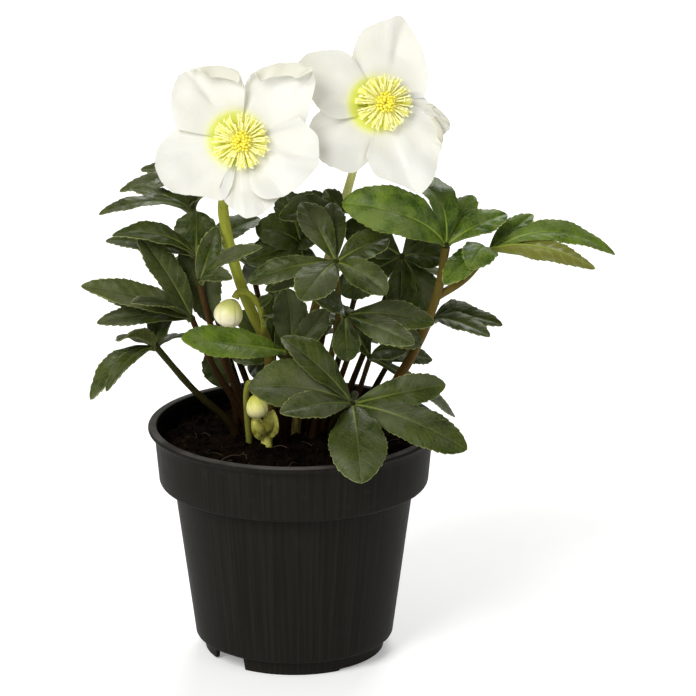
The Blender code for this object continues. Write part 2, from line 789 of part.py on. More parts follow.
def strip(bm, ribs, rib_shares, edges, edge_shares, flip):
    """Triangles between the midrib's points and one edge's, which end in the same tip."""
    rib = 0
    edge = 0
    while rib < len(ribs) - 1 or edge < len(edges) - 1:
        if rib == len(ribs) - 1:
            advance_edge = True
        elif edge == len(edges) - 1:
            advance_edge = False
        else:
            advance_edge = edge_shares[edge + 1] <= rib_shares[rib + 1]
        if advance_edge:
            corners = (ribs[rib], edges[edge], edges[edge + 1])
            edge += 1
        else:
            corners = (ribs[rib], edges[edge], ribs[rib + 1])
            rib += 1
        if len(set(corners)) == 3:
            bm.faces.new(reversed(corners) if flip else corners)


def leaflet(hub, facing, tip, width, arch, roll, fold, tip_shape):
    """One leaflet: a thin arched blade, folded along its midrib, with notched edges."""
    base = Vector(hub)
    chord = Vector(tip) - base
    along = chord.normalized()
    upper = Matrix.Rotation(math.radians(roll), 3, along) @ Vector(facing)
    upper = (upper - along * upper.dot(along)).normalized()
    control = base + chord * 0.45 + upper * arch * 2
    small = chord.length < SMALL_LEAFLET
    rib_shares = SMALL_RIB_STATIONS if small else RIB_STATIONS
    edge_shares = SMALL_EDGE_STATIONS if small else EDGE_STATIONS
    notches = SMALL_NOTCH_STATIONS if small else NOTCH_STATIONS

    def frame_at(share):
        point = base * (1 - share) ** 2 + control * 2 * share * (1 - share) + Vector(tip) * share**2
        tangent = ((control - base) * (1 - share) + (Vector(tip) - control) * share).normalized()
        side = tangent.cross(upper).normalized()
        return point, side, side.cross(tangent)

    bm = bmesh.new()
    faces = {}
    for layer in (1, -1):
        ribs = []
        for share in rib_shares:
            point, _, normal = frame_at(share)
            ribs.append(bm.verts.new(point + normal * layer * BLADE_THICKNESS / 2))
        edges = {}
        for hand in (1, -1):
            edge = []
            for share in edge_shares[:-1]:
                point, side, normal = frame_at(share)
                half = max(blade_half_width(share, width, tip_shape), SHANK_HALF_WIDTH)
                wave = WAVE * half * math.sin(9.0 * share + hand + base.x)
                if share in notches:
                    half *= 1 - NOTCH_DEPTH
                place = point + side * hand * half + normal * (fold * half + wave)
                edge.append(bm.verts.new(place + normal * layer * BLADE_THICKNESS / 2))
            edge.append(ribs[-1])
            strip(bm, ribs, rib_shares, edge, edge_shares, (hand > 0) == (layer > 0))
            edges[hand] = edge
        faces[layer] = (ribs, edges)
    for hand in (1, -1):
        over = faces[1][1][hand]
        under = faces[-1][1][hand]
        for index in range(len(over) - 1):
            bm.faces.new((over[index], under[index], under[index + 1]))
            bm.faces.new((over[index], under[index + 1], over[index + 1]))
        rib_over = faces[1][0][0]
        rib_under = faces[-1][0][0]
        bm.faces.new((rib_over, rib_under, under[0], over[0]))
    bmesh.ops.triangulate(bm, faces=[face for face in bm.faces if len(face.verts) > 3])
    return mesh_object("leaflet", bm, GUIDES)


def knob(centre, radius):
    bm = bmesh.new()
    place = Matrix.Translation(centre)
    bmesh.ops.create_uvsphere(bm, u_segments=5, v_segments=2, radius=radius, matrix=place)
    return mesh_object("knob", bm, GUIDES)


def make_leaf(name):
    hub, facing, leaflets = LEAVES[name]
    tip_shape = BLUNT_TIP if name in BLUNT_LEAVES else POINTED_TIP
    blades = [leaflet(hub, facing, *values, tip_shape) for values in leaflets]
    leaf = combined(knob(hub, KNOB_RADIUS), blades)
    finish(leaf, "leaf_" + name, "young_leaf" if name in YOUNG_LEAVES else "leaf")


def stalk_points(place, passing, end, count):
    """A stalk's route: upright in its hole, then through the points it passes, to just short of its end."""
    x, y = place
    last = Vector(passing[-1])
    end = Vector(end)
    stop = end - (end - last).normalized() * (KNOB_RADIUS + GAP)
    foot = [Vector((x, y, STALK_FOOT))]
    return foot + smooth_route([(x, y, STRAIGHT_TOP), *passing, stop], count)


def make_stalk(name):
    place, passing, foot_radius, top_radius = STALKS[name]
    points = stalk_points(place, passing, LEAVES[name][0], 3 + len(passing))
    stalk = baked(tube("stalk", points, foot_radius, top_radius), "stalk", GUIDES)
    if name == "right_high":
        fork = Vector(passing[-1])
        hub = Vector(LEAVES["right_tip"][0])
        turn = (fork + hub) / 2 + Vector(FORK_TURN)
        stop = hub - (hub - turn).normalized() * (KNOB_RADIUS + GAP)
        branch = baked(tube("branch", smooth_route([fork, turn, stop], 5), *FORK_RADII), "branch", GUIDES)
        stalk = combined(stalk, [branch])
    finish(stalk, "stalk_" + name, "stalk")


def bloom_frame(facing):
    """Turns the bloom's own right, up and forward into the model's."""
    forward = Vector(facing).normalized()
    right = Vector((0, 0, 1)).cross(forward).normalized()
    up = forward.cross(right)
    return Matrix((right, up, forward)).transposed()


def rim(rows):
    """The points round the edge of a grid of rows."""
    outer = [row[-1] for row in rows[1:-1]]
    inner = [row[0] for row in rows[-2:0:-1]]
    return rows[0] + outer + rows[-1][::-1] + inner


def sepal(centre, frame, level, tilt, outline, phase):
    """One sepal: a cupped, waved sheet between the bloom's middle and its outline."""
    rays = smooth_route([(x, y, 0.0) for x, y in outline], SEPAL_RAYS)
    bm = bmesh.new()
    layers = {}
    for layer in (1, -1):
        rows = []
        for index, edge in enumerate(rays):
            turn = index / (SEPAL_RAYS - 1)
            row = []
            for share in SEPAL_RINGS:
                reach = (edge * share).length
                rise = min(max((reach - 10.0) / 12.0, 0.0), 1.0)
                height = level * rise + tilt * (turn - 0.5) * 2 * rise + SEPAL_CUP * (reach / 36.0) ** 2
                height += SEPAL_WAVE * share * rise * math.sin(8.0 * turn + phase)
                place = Vector((edge.x * share, edge.y * share, height + layer * SEPAL_THICKNESS / 2))
                row.append(bm.verts.new(Vector(centre) + frame @ place))
            rows.append(row)
        for row, following in zip(rows, rows[1:]):
            for inner in range(len(SEPAL_RINGS) - 1):
                a, b = row[inner], row[inner + 1]
                c, d = following[inner + 1], following[inner]
                bm.faces.new((a, b, c))
                bm.faces.new((a, c, d))
        layers[layer] = rows
    rim_over = rim(layers[1])
    rim_under = rim(layers[-1])
    for index in range(len(rim_over)):
        a, b = rim_over[index - 1], rim_over[index]
        c, d = rim_under[index], rim_under[index - 1]
        bm.faces.new((a, b, c))
        bm.faces.new((a, c, d))
    return mesh_object("sepal", bm, GUIDES)


def cone_between(start, end, start_radius, end_radius, sides):
    start = Vector(start)
    end = Vector(end)
    along = end - start
    matrix = Matrix.Translation((start + end) / 2) @ along.to_track_quat("Z", "Y").to_matrix().to_4x4()
    bm = bmesh.new()
    bmesh.ops.create_cone(
        bm,
        cap_ends=True,
        segments=sides,
        radius1=start_radius,
        radius2=end_radius,
        depth=along.length,
        matrix=matrix,
    )
    return mesh_object("cone", bm, GUIDES)


def stamen(foot, top):
    """A three-sided thread from its foot to its top, where it swells into the anther."""
    turn = (top - foot).to_track_quat("Z", "Y")
    reach = (top - foot).length
    rings = (
        (0.0, FILAMENT_RADIUS),
        (reach - ANTHER_LENGTH * 0.6, FILAMENT_RADIUS),
        (reach, ANTHER_RADIUS),
        (reach + ANTHER_LENGTH * 0.4, FILAMENT_RADIUS),
    )
    bm = bmesh.new()
    rows = []
    for height, radius in rings:
        corners = [math.tau * side / 3 for side in range(3)]
        spots = [Vector((radius * math.cos(a), radius * math.sin(a), height)) for a in corners]
        rows.append([bm.verts.new(foot + turn @ spot) for spot in spots])
    for row, following in zip(rows, rows[1:]):
        for side in range(3):
            bm.faces.new((row[side - 1], row[side], following[side], following[side - 1]))
    bm.faces.new(reversed(rows[0]))
    bm.faces.new(rows[-1])
    return mesh_object("stamen", bm, GUIDES)


def make_bloom(name, centre, facing, sepals):
    frame = bloom_frame(facing)
    middle = Vector(centre)

    def at(x, y, height):
        return middle + frame @ Vector((x, y, height))

    def round_at(angle, radius, height):
        return at(radius * math.cos(angle), radius * math.sin(angle), height)

    petals = [
        sepal(centre, frame, level, tilt, outline, phase)
        for phase, (level, tilt, outline) in enumerate(sepals.values())
    ]
    back = at(0, 0, RECEPTACLE_BACK)
    front = at(0, 0, RECEPTACLE_FRONT)
    receptacle = cone_between(back, front, *RECEPTACLE_RADII, 12)
    finish(combined(receptacle, petals), name + "_sepals", "sepal")

    ring = cone_between(at(0, 0, RING_BACK), at(0, 0, RING_FRONT), RING_RADIUS, RING_RADIUS, 12)
    bore = cone_between(at(0, 0, RING_BACK - 1), at(0, 0, RING_FRONT + 1), RING_BORE, RING_BORE, 12)
    ring = combined(ring, [bore], "DIFFERENCE")
    cups = []
    for index in range(NECTARIES):
        angle = math.tau * index / NECTARIES
        foot = round_at(angle, NECTARY_REACH[0], NECTARY_HEIGHTS[0])
        mouth = round_at(angle, NECTARY_REACH[1], NECTARY_HEIGHTS[1])
        cups.append(cone_between(foot, mouth, *NECTARY_RADII, 4))
    finish(combined(ring, cups), name + "_nectaries", "nectary")

    base = cone_between(at(0, 0, RING_BACK), at(0, 0, STAMEN_BASE_FRONT), *STAMEN_BASE_RADII, 12)
    threads = []
    for index in range(STAMENS + INNER_STAMENS):
        if index >= STAMENS:
            angle = math.tau * (index + 0.5) / INNER_STAMENS
            tip = INNER_STAMEN
        else:
            angle = math.tau * index / STAMENS
            tip = LONG_STAMEN if index % 2 else SHORT_STAMEN
        threads.append(stamen(round_at(angle, *STAMEN_FOOT), round_at(angle, *tip)))
    for index in range(STYLES):
        angle = math.tau * index / STYLES
        foot = round_at(angle, *STYLE_FOOT)
        threads.append(cone_between(foot, round_at(angle, *STYLE_TIP), *STYLE_RADII, 5))
    finish(combined(base, threads), name + "_stamens", "stamen")
    return at(0, 0, RECEPTACLE_BACK - GAP)


def stem_points(stem, top, facing, count):
    (x, y), passing = stem
    behind = top - Vector(facing).normalized() * STRAIGHT_BEHIND
    foot = [Vector((x, y, STALK_FOOT))]
    return foot + smooth_route([(x, y, STRAIGHT_TOP), *passing, behind], count) + [top]


def bract(base, tip, width, facing):
    return leaflet(base, facing, tip, width, BRACT_ARCH, 0, BRACT_FOLD, POINTED_TIP)


def make_stem_1(top):
    stem = baked(tube("stem", stem_points(STEM_1, top, BLOOM_1_FACING, 14), *STEM_1_RADII), "stem", GUIDES)
    pedicel = baked(tube("pedicel", smooth_route(BUD_1_PEDICEL, 7), *PEDICEL_RADII), "pedicel", GUIDES)
    bracts = [bract(base, tip, BRACT_WIDTH, BRACT_FACING) for base, tip in BRACTS]
    finish(combined(stem, [pedicel, *bracts]), "stem_bloom_1", "stem")


def make_stem_2(top):
    stem = baked(tube("stem", stem_points(STEM_2, top, BLOOM_2_FACING, 12), *STEM_2_RADII), "stem", GUIDES)
    finish(stem, "stem_bloom_2", "stem")


def make_bud(name, centre, radius, length, lean):
    """A nodding bud: an egg of five folded sepals, with shallow grooves between them."""
    bm = bmesh.new()
    bmesh.ops.create_uvsphere(bm, u_segments=10, v_segments=7, radius=1.0)
    for vertex in bm.verts:
        angle = math.atan2(vertex.co.y, vertex.co.x)
        groove = 1.0 + 0.05 * math.cos(5 * angle + 1.5 * vertex.co.z)
        narrow = 1.0 - 0.18 * vertex.co.z
        vertex.co = Vector(
            (
                vertex.co.x * radius * groove * narrow,
                vertex.co.y * radius * groove * narrow,
                vertex.co.z * length / 2,
            )
        )
    turn = Vector(lean).normalized().to_track_quat("Z", "Y").to_matrix().to_4x4()
    bmesh.ops.transform(bm, matrix=Matrix.Translation(centre) @ turn, verts=bm.verts)
    bmesh.ops.triangulate(bm, faces=[face for face in bm.faces if len(face.verts) > 3])
    finish(mesh_object(name, bm, GUIDES), name, "bud")


def make_low_growth():
    place, passing = BUD_2_STEM
    route = [Vector((*place, STALK_FOOT))] + smooth_route([(*place, STRAIGHT_TOP), *passing], 8)
    finish(baked(tube("bud_stem", route, *BUD_2_STEM_RADII), "bud_stem", GUIDES), "stem_bud_2", "stem")
    core = cone_between((*SHOOT_PLACE, STALK_FOOT), (*SHOOT_PLACE, STRAIGHT_TOP), *SHOOT_RADII, 6)
    base = (*SHOOT_PLACE, STRAIGHT_TOP - 0.6)
    sheaths = [bract(base, tip, SHOOT_WIDTH, SHOOT_FACING) for tip in SHOOTS]
    finish(combined(core, sheaths), "young_shoot", "stem")


clear_scene()
MODEL = new_collection("potted_christmas_rose")
GUIDES = new_collection("guides", hidden=True)
MATERIALS = {name: new_material(name) for name in COLOURS}

make_pot()
make_soil()
for leaf_name in LEAVES:
    make_leaf(leaf_name)
for stalk_name in STALKS:
    make_stalk(stalk_name)
make_stem_1(make_bloom("bloom_1", BLOOM_1_CENTRE, BLOOM_1_FACING, BLOOM_1_SEPALS))
make_stem_2(make_bloom("bloom_2", BLOOM_2_CENTRE, BLOOM_2_FACING, BLOOM_2_SEPALS))
make_bud("bud_1", BUD_1_CENTRE, BUD_1_RADIUS, BUD_1_LENGTH, BUD_1_LEAN)
make_bud("bud_2", BUD_2_CENTRE, BUD_2_RADIUS, BUD_2_LENGTH, BUD_2_LEAN)
make_low_growth()
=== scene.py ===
"""The finished look of the potted christmas rose: finer leaves, blooms, stalks, soil and pot.

Sizes are in millimetres and turned into metres where a mesh is made. The origin is the middle of the pot's
underside, +Z is up and -Y is the side that the blooms face.
"""

import random
from math import cos, degrees, exp, hypot, pi, radians, sin, sqrt, tau

import bmesh
import bpy
from mathutils import Matrix, Vector, noise


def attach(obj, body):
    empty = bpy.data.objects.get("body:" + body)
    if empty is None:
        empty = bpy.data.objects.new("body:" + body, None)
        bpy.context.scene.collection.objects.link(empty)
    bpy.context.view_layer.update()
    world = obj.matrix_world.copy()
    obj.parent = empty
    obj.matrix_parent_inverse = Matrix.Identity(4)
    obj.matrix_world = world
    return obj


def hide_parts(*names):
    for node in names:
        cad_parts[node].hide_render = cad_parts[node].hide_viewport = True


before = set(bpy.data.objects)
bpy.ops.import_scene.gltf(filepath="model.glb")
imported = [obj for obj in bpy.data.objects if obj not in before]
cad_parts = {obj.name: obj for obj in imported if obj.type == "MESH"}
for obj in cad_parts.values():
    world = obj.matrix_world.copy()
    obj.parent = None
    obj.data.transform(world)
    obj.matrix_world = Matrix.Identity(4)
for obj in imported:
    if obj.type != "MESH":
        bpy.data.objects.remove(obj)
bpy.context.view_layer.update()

MM = 0.001
SEED = 17

# Camera
CAMERA_AIM = (24.2, 0.0, 139.8)
CAMERA_DISTANCE = 2000.0
CAMERA_PITCH = 17.12
LENS = 233.2
SENSOR = 36.0

# Pot
POT_HEIGHT = 105.0
BEAD_RADIUS = 65.0
BAND_TOP_RADIUS = 62.2
BAND_FOOT_RADIUS = 60.2
BAND_FOOT_HEIGHT = 78.8
BODY_TOP_RADIUS = 53.6
BODY_FOOT_RADIUS = 44.4
BODY_FOOT_HEIGHT = 6.9
FOOT_RADIUS = 40.2
FOOT_WALL = 1.6
FLOOR_DISC_RADIUS = 26.0
DRAIN_HOLES = 6
DRAIN_RADIUS = 3.4
DRAIN_CIRCLE = 32.5
DRAIN_SIDES = 40
GUTTER_HEIGHT = 5.6
WALL = 1.3
GAP = 0.3
FOOT_NOTCHES = 2
NOTCH_CENTRE_ANGLE = -46.6
NOTCH_ANGLE = 26.0
NOTCH_HEIGHT = 5.3
RELIEF_ANGLE = 89.4
RELIEF_HEIGHT = 0.9
POT_STEPS = 288
POT_SHARP = 40.0
# Where along the pot's profile its inner side gives way to its outer side; the inner side gets painted shade
# below the rim.
INSIDE_SHARES = (0.352, 0.366)
POT_OVAL = 0.10
POT_UNEVEN = 0.06
EVEN_RADIUS = 30.0
CORNER_STEP = 0.35
CORNER_SHARE = 0.4
SIDE_POINTS = 6
LONG_SIDE = 8.0

# Soil
SOIL_TOP = 96.0
SOIL_RADIUS = BAND_TOP_RADIUS - WALL - GAP
SOIL_SWELLS = ((2.2, 0.07), (1.3, 0.19))
SOIL_FALL = 1.5
LUMP_DEPTH = 0.9
LUMP_FINENESS = 0.55
GRAIN_DEPTH = 0.5
GRAIN_FINENESS = 1.3
SOIL_RINGS = 90
SOIL_STEPS = 300
CRUMBS = 620
CRUMB_SIZE = 0.5
CRUMB_EXTRA = 1.5
CRUMB_LUMPS = 0.22
CRUMB_MARGIN = 2.5
CRUMB_RISE = 0.2
FIBRES = 36
FIBRE_LENGTH = (3.0, 9.0)
FIBRE_RADIUS = (0.08, 0.20)
FIBRE_MARGIN = 7.0
FIBRE_END_MARGIN = 1.5

# Stalks and stems
TUBE_RIDGES = 5
STALK_FOOT = 84.4
STRAIGHT_TOP = 100.0
STALK_STATIONS = 40
STALK_SIDES = 14
STALK_SHORT = 0.6
STALK_RIPPLE = 0.05
STALK_UNEVEN = 0.04
FOOT_SWELL = 0.35
FOOT_SWELL_HEIGHT = 98.0
FOOT_SWELL_REACH = 10.0
HUB_SWELL = 0.10
HUB_SWELL_REACH = 5.0
FORK_STATIONS = 18
FORK_RADII = (1.9, 1.4)
FORK_SAG = (1, 0, -2)
STEM_SIDES = 20
STEM_RIPPLE = 0.04
STRAIGHT_BEHIND = 3.5

# Leaves. A hub's seed says how green the stalk's look is there.
HUB_RADII = (1.6, 1.6, 1.5)
HUB_SEED = 1.2
BLADE_THICKNESS = 0.5
SHANK_THICKNESS = 1.4
SHANK_HALF_WIDTH = 0.9
SHANK_SHARE = 0.12
TIP_HALF_WIDTH = 0.15
BLADE_FULLNESS = 0.62
NARROW_BASE = 0.30
NARROW_SHARE = 0.22
POINTED_TIP = 1.15
BLUNT_TIP = 1.5
BLUNT_LEAVES = ("front", "front_left", "middle", "lower_middle", "dark_middle", "right_inner", "right_high")
ARCH_PLACE = 0.45
WAVE = 0.10
WAVE_TURNS = 9.0
RUFFLE = 0.05
RUFFLE_TURNS = 24.0
CROWN = 0.07
SIDEWAYS_BEND = 0.035
TEETH_START = 0.38
TOOTH_PITCH = 3.0
TOOTH_DEPTH = 0.5
TOOTH_LEAN = 0.7
TOOTH_FADE = 8
TOOTH_STATIONS = 4
FEWEST_TEETH = 4
BASAL_STATIONS = 12
VEIN_SLANT = 1.1
VEIN_PITCH = 5.6
QUILT_DEPTH = 0.22
QUILT_HALF_WIDTH = 6.0
MIDRIB_GROOVE = 0.3
GROOVE_HALF_WIDTH = 0.9
RIB_DEPTH = 0.9
RIB_HALF_WIDTH = 1.1
HALF_COLUMNS = (0.04, 0.12, 0.28, 0.48, 0.68, 0.86, 0.97, 1.0)
COLUMNS = (*[-column for column in reversed(HALF_COLUMNS)], 0.0, *HALF_COLUMNS)

# Each leaf: hub, the direction its upper side faces, then its leaflets as (tip, width, arch, roll, fold).
LEAVES = {
    "front": (
        (26, -32, 124), (0, -0.66, 0.75),
        ((-19, -46, 136), 25, 5, 0, 0.1), ((-5, -60, 129), 14, 4, 0, 0.05), ((-5, -27, 153), 17, 4, 20, 0.2),
        ((30, -75, 102), 25, 6, 0, -0.12), ((67, -29, 132), 14.5, 4, 12, 0.15),
        ((76, -53, 110), 19, 6, 0, -0.15),
    ),
    "front_left": (
        (-2, -16, 143), (0, -0.66, 0.75),
        ((-48, -42, 157), 17, 2.5, 0, 0.12), ((14, -24, 137), 10, 2, 0, 0.1),
    ),
    "dark_middle": (
        (-1, -6, 137), (0, -0.75, 0.66),
        ((-3, 2, 167), 15, 2, 0, 0.15), ((15, -1, 158), 11, 2, 15, 0.2),
    ),
    "middle": (
        (19, -30, 188), (0, -0.7, 0.71),
        ((4, -12, 210), 13, 2, 0, 0.15), ((17, -5, 208), 11, 1, 0, 0.15), ((42, -22, 197), 14, 3, 0, 0.12),
        ((41, -48, 179), 14, 4, 0, 0.1), ((4, -58, 179), 17, 4, 0, -0.1), ((-19, -34, 180), 11, 5, 0, 0.15),
        ((-12, -22, 173), 9, 3, 0, 0.1),
    ),
    "lower_middle": (
        (23, -20, 161), (0, -0.7, 0.71),
        ((62, -26, 159), 13, 5, 0, 0.1), ((53, -40, 154), 12, 3, 0, -0.1), ((9, -38, 175), 13, 3, 0, 0.1),
        ((57, -8, 144), 13, 3, 10, 0.1), ((24, -24, 141), 12, 2, 0, 0.1),
    ),
    "left": (
        (-45, 2, 153), (-0.15, -0.5, 0.85),
        ((-93, -12, 172), 13, 8, -15, 0.2), ((-69, 8, 191), 14, 2, 10, 0.22),
        ((-88, 8, 164), 8, 3, -20, 0.15), ((-70, -32, 170), 10, 3, 0, 0.15),
        ((-87, -2, 152), 10, 7, -10, 0.15), ((-78, 26, 160), 9, 3, 0, 0.15),
    ),
    "left_high": (
        (-43, 8, 180), (-0.15, -0.4, 0.9),
        ((-80, 6, 190), 12, 8, 0, 0.15), ((-84, 26, 182), 11, 4, 0, 0.15), ((-43, 14, 199), 20, 1.5, 0, 0.15),
        ((-15, 24, 193), 15, 4, 0, 0.15),
    ),
    "left_arching": (
        (-45, 22, 197), (-0.1, -0.4, 0.9),
        ((-86, 12, 198), 10, 6, 10, 0.15), ((-73, 30, 205), 7, 3, 0, 0.15), ((-52, 2, 212), 10, 3, 0, 0.15),
        ((-34, 8, 209), 9, 3, 0, 0.15), ((-37, 14, 147), 18, 3, 0, 0.12),
    ),
    "left_top": (
        (-48, 44, 205), (0, -0.4, 0.9),
        ((-69, 48, 209), 9, 3, 0, 0.15), ((-78, 36, 202), 8, 4, 0, 0.15), ((-61, 22, 208), 9, 3, 0, 0.15),
        ((-38, 64, 211), 11, 3, 0, 0.15),
    ),
    "left_inner": (
        (-41, -20, 176), (-0.2, -0.7, 0.7),
        ((-13, -34, 196), 9, 3, -20, 0.2), ((-33, -12, 199), 10, 2, 20, 0.2),
        ((-26, -38, 183), 8, 3, -10, 0.2),
    ),
    "lower_left": (
        (-61, -4, 142), (-0.4, -0.45, 0.8),
        ((-90, -10, 119), 11, 8, -15, 0.15), ((-82, -26, 128), 8, 5, 0, 0.15),
        ((-76, -22, 150), 14, 4, 25, 0.15), ((-57, 10, 153), 12, 1, 0, 0.15), ((-46, 20, 138), 9, 3, 0, 0.15),
    ),
    "top_middle": (
        (21, 2, 202), (0, -0.7, 0.71),
        ((-6, -12, 203), 13, 4, 0, 0.12), ((-2, 4, 206), 11, 2, 0, 0.12), ((14, 6, 211), 8, 2, 0, 0.12),
        ((42, 6, 206), 11, 3, 0, 0.12),
    ),
    "inner": (
        (3, 22, 182), (0, -0.72, 0.7),
        ((-17, 20, 190), 18, 3, 0, 0.1), ((-21, 12, 176), 16, 3, 0, 0.1), ((-5, 32, 204), 15, 3, 0, 0.1),
        ((-24, 38, 160), 16, 3, 0, 0.1), ((4, 8, 166), 13, 2, 0, 0.1), ((13, 9, 189), 14, 2, 0, 0.1),
    ),
    "deep_left": (
        (-9, 27, 130), (0, -0.75, 0.66),
        ((-25, 25, 149), 14, 2, 0, 0.1), ((5, 30, 152), 12, 2, 0, 0.1), ((-28, 19, 129), 12, 3, 0, 0.1),
        ((-9, 32, 158), 13, 2, 0, 0.1), ((17, 33, 141), 13, 3, 0, 0.1), ((-20, 33, 117), 12, 3, 0, 0.1),
        ((4, 36, 121), 12, 3, 0, 0.1),
    ),
    "right_high": (
        (67, -14, 191), (-0.05, -0.55, 0.83),
        ((21.5, -24, 213), 24, 13, -12, 0.1), ((51, 6, 215), 18, 12, 26, 0.25),
        ((94, -2, 202), 13, 4, 0, 0.12), ((79, 4, 209), 12, 2, 0, 0.15),
    ),
    "right_tip": (
        (86, -4, 185), (0.1, -0.5, 0.85),
        ((142, 0, 183), 12, 13, 0, 0.15), ((132, -20, 182), 12, -9, 180, 0.15),
        ((106, 12, 198), 10, 3, 0, 0.15), ((77, -30, 185), 15, 6, 0, -0.15), ((66, -23, 176), 13, 4, 0, 0.1),
    ),
    "right_inner": (
        (48, 14, 178), (0.1, -0.7, 0.7),
        ((22, 7, 194), 19, 3, 0, 0.1), ((66, 24, 186), 16, 3, 0, 0.1), ((67, 10, 178), 14, 3, 0, 0.1),
        ((60, 2, 153), 17, 3, 0, 0.1), ((21, 9, 162), 18, 3, 0, 0.1), ((46, 4, 154), 13, 4, 0, 0.1),
    ),
    "lower_right": (
        (34, 2, 135), (0.1, -0.6, 0.79),
        ((62, 18, 129), 11, 3, 0, 0.1), ((50, -13, 142), 15, 3, 0, 0.1), ((15, 19, 155), 14, 3, 0, 0.1),
        ((73, 36, 96), 8, 4, 0, 0.1),
    ),
    "right_low": (
        (62, 14, 149), (0.1, -0.5, 0.85),
        ((93, 8, 148), 10, 4, 0, 0.12), ((87, -6, 147), 10, 4, 0, 0.12), ((84, 34, 146), 11, 4, 0, 0.12),
    ),
    "left_low": (
        (-30, 22, 114), (-0.2, -0.7, 0.68),
        ((-38, 26, 131), 13, 2, 0, 0.1), ((-37, 38, 122), 11, 3, 0, 0.1),
    ),
    "back_left": (
        (-20, 50, 165), (0, 0.45, 0.89),
        ((-58, 64, 160), 14, 5, 0, 0.12), ((-36, 82, 158), 15, 5, 0, 0.12), ((-6, 88, 160), 15, 5, 0, 0.12),
        ((8, 66, 172), 13, 4, 0, 0.12),
    ),
    "back_right": (
        (30, 48, 160), (0.1, 0.45, 0.89),
        ((14, 82, 150), 14, 5, 0, 0.12), ((44, 84, 148), 15, 5, 0, 0.12), ((70, 62, 154), 15, 5, 0, 0.12),
        ((52, 36, 168), 12, 3, 0, 0.12),
    ),
    "back_low": (
        (6, 50, 130), (0, 0.5, 0.87),
        ((-18, 76, 118), 13, 4, 0, 0.12), ((8, 88, 114), 15, 5, 0, 0.12), ((38, 72, 120), 14, 4, 0, 0.12),
    ),
}
GREEN_STALKS = ("front", "lower_left", "right_low")
STALK_LOOKS = {"right_high": "tan_stalk", **dict.fromkeys(GREEN_STALKS, "green_stalk")}
YOUNG_LEAVES = ("right_high", "right_tip", "front_left")
# Leaflets given the lighter copy of the leaf colours, painted as if lit, with stronger painted sheen.
LIT_SHEEN_LEAFLETS = {"front": (0,), "left": (0, 1)}

# Each stalk: its place in the soil, the points it passes, its foot radius and its top radius.
STALKS = {
    "front": ((17, 9), ((27, -9, 121),), 1.7, 1.2),
    "front_left": ((-5, 0), ((-6, -8, 125),), 1.6, 1.2),
    "dark_middle": ((-6, 7), ((-3, 3, 130),), 1.5, 1.1),
    "middle": ((9, 4), ((17, -2, 138), (20, -12, 160)), 1.6, 1.2),
    "lower_middle": ((14, 14), ((25, 0, 138), (27, -10, 152)), 1.5, 1.1),
    "left": ((-21, 12), ((-36, 6, 130),), 1.7, 1.2),
    "left_high": ((-19, 18), ((-38, 12, 150),), 1.6, 1.2),
    "left_arching": ((-16, 24), ((-39, 31, 165),), 1.6, 1.2),
    "left_top": ((-22, 31), ((-40, 40, 160),), 1.5, 1.1),
    "left_inner": ((-19, 6), ((-34, -8, 145),), 1.5, 1.1),
    "lower_left": ((-27, 7), ((-45, 0, 121),), 1.8, 1.4),
    "top_middle": ((5, 15), ((16, 8, 160),), 1.6, 1.2),
    "inner": ((-4, 18), ((2, 18, 150),), 1.5, 1.1),
    "deep_left": ((-11, 29), ((-10, 29, 112),), 1.4, 1.1),
    "right_high": ((34, 12), ((53, -2, 138), (63, -9, 166)), 2.4, 1.8),
    "right_inner": ((20, 20), ((36, 16, 145),), 1.6, 1.2),
    "lower_right": ((24, 6), ((29, 4, 118),), 1.4, 1.1),
    "right_low": ((30, 22), ((46, 27, 130),), 1.5, 1.1),
    "left_low": ((-26, 20), ((-27, 21, 106),), 1.4, 1.1),
    "back_left": ((-5, 34), ((-12, 44, 130),), 1.6, 1.2),
    "back_right": ((14, 32), ((22, 42, 130),), 1.6, 1.2),
    "back_low": ((4, 38), ((5, 44, 116),), 1.5, 1.1),
}

# Blooms. Each sepal: its level in front of the bloom's plane, its tilt from edge to edge, then its outline.
BLOOM_1_CENTRE = (-21.7, -30, 241.8)
BLOOM_1_FACING = (0.0, -0.956, 0.292)
BLOOM_1_SEPALS = {
    "upper_left": (
        1.6, 0.6,
        (-27.5, 5.3), (-30.1, 15.5), (-27.9, 26.6), (-22.2, 30.6), (-11.1, 32.3), (-1.8, 30.1),
        (1.8, 23.0),
    ),
    "upper_right": (
        0.0, 0.6,
        (0.6, 22.0), (4.4, 28.8), (13.3, 32.8), (22.2, 33.7), (29.2, 31.5), (31.9, 26.6), (30.1, 16.5),
        (27.5, 7.5),
    ),
    "right": (
        1.8, 0.0,
        (25.0, 10.5), (32.8, 2.2), (33.4, -4.4), (33.2, -9.7), (29.2, -14.8), (23.5, -20.4), (17.7, -23.6),
        (9.7, -24.6), (4.4, -21.0),
    ),
    "bottom": (
        -1.2, 0.0,
        (-9.5, -19.0), (-7.0, -25.8), (-2.2, -30.1), (2.2, -32.8), (9.7, -30.6), (16.4, -24.0),
    ),
    "left": (
        -0.6, 0.0,
        (-25.0, 8.0), (-33.2, 0.9), (-36.3, -4.4), (-36.8, -11.1), (-33.2, -18.6), (-27.5, -22.2),
        (-17.7, -23.4), (-8.0, -25.0), (-4.0, -19.0),
    ),
}
BLOOM_2_CENTRE = (39.3, -12, 254.7)
BLOOM_2_FACING = (0.17, -0.943, 0.288)
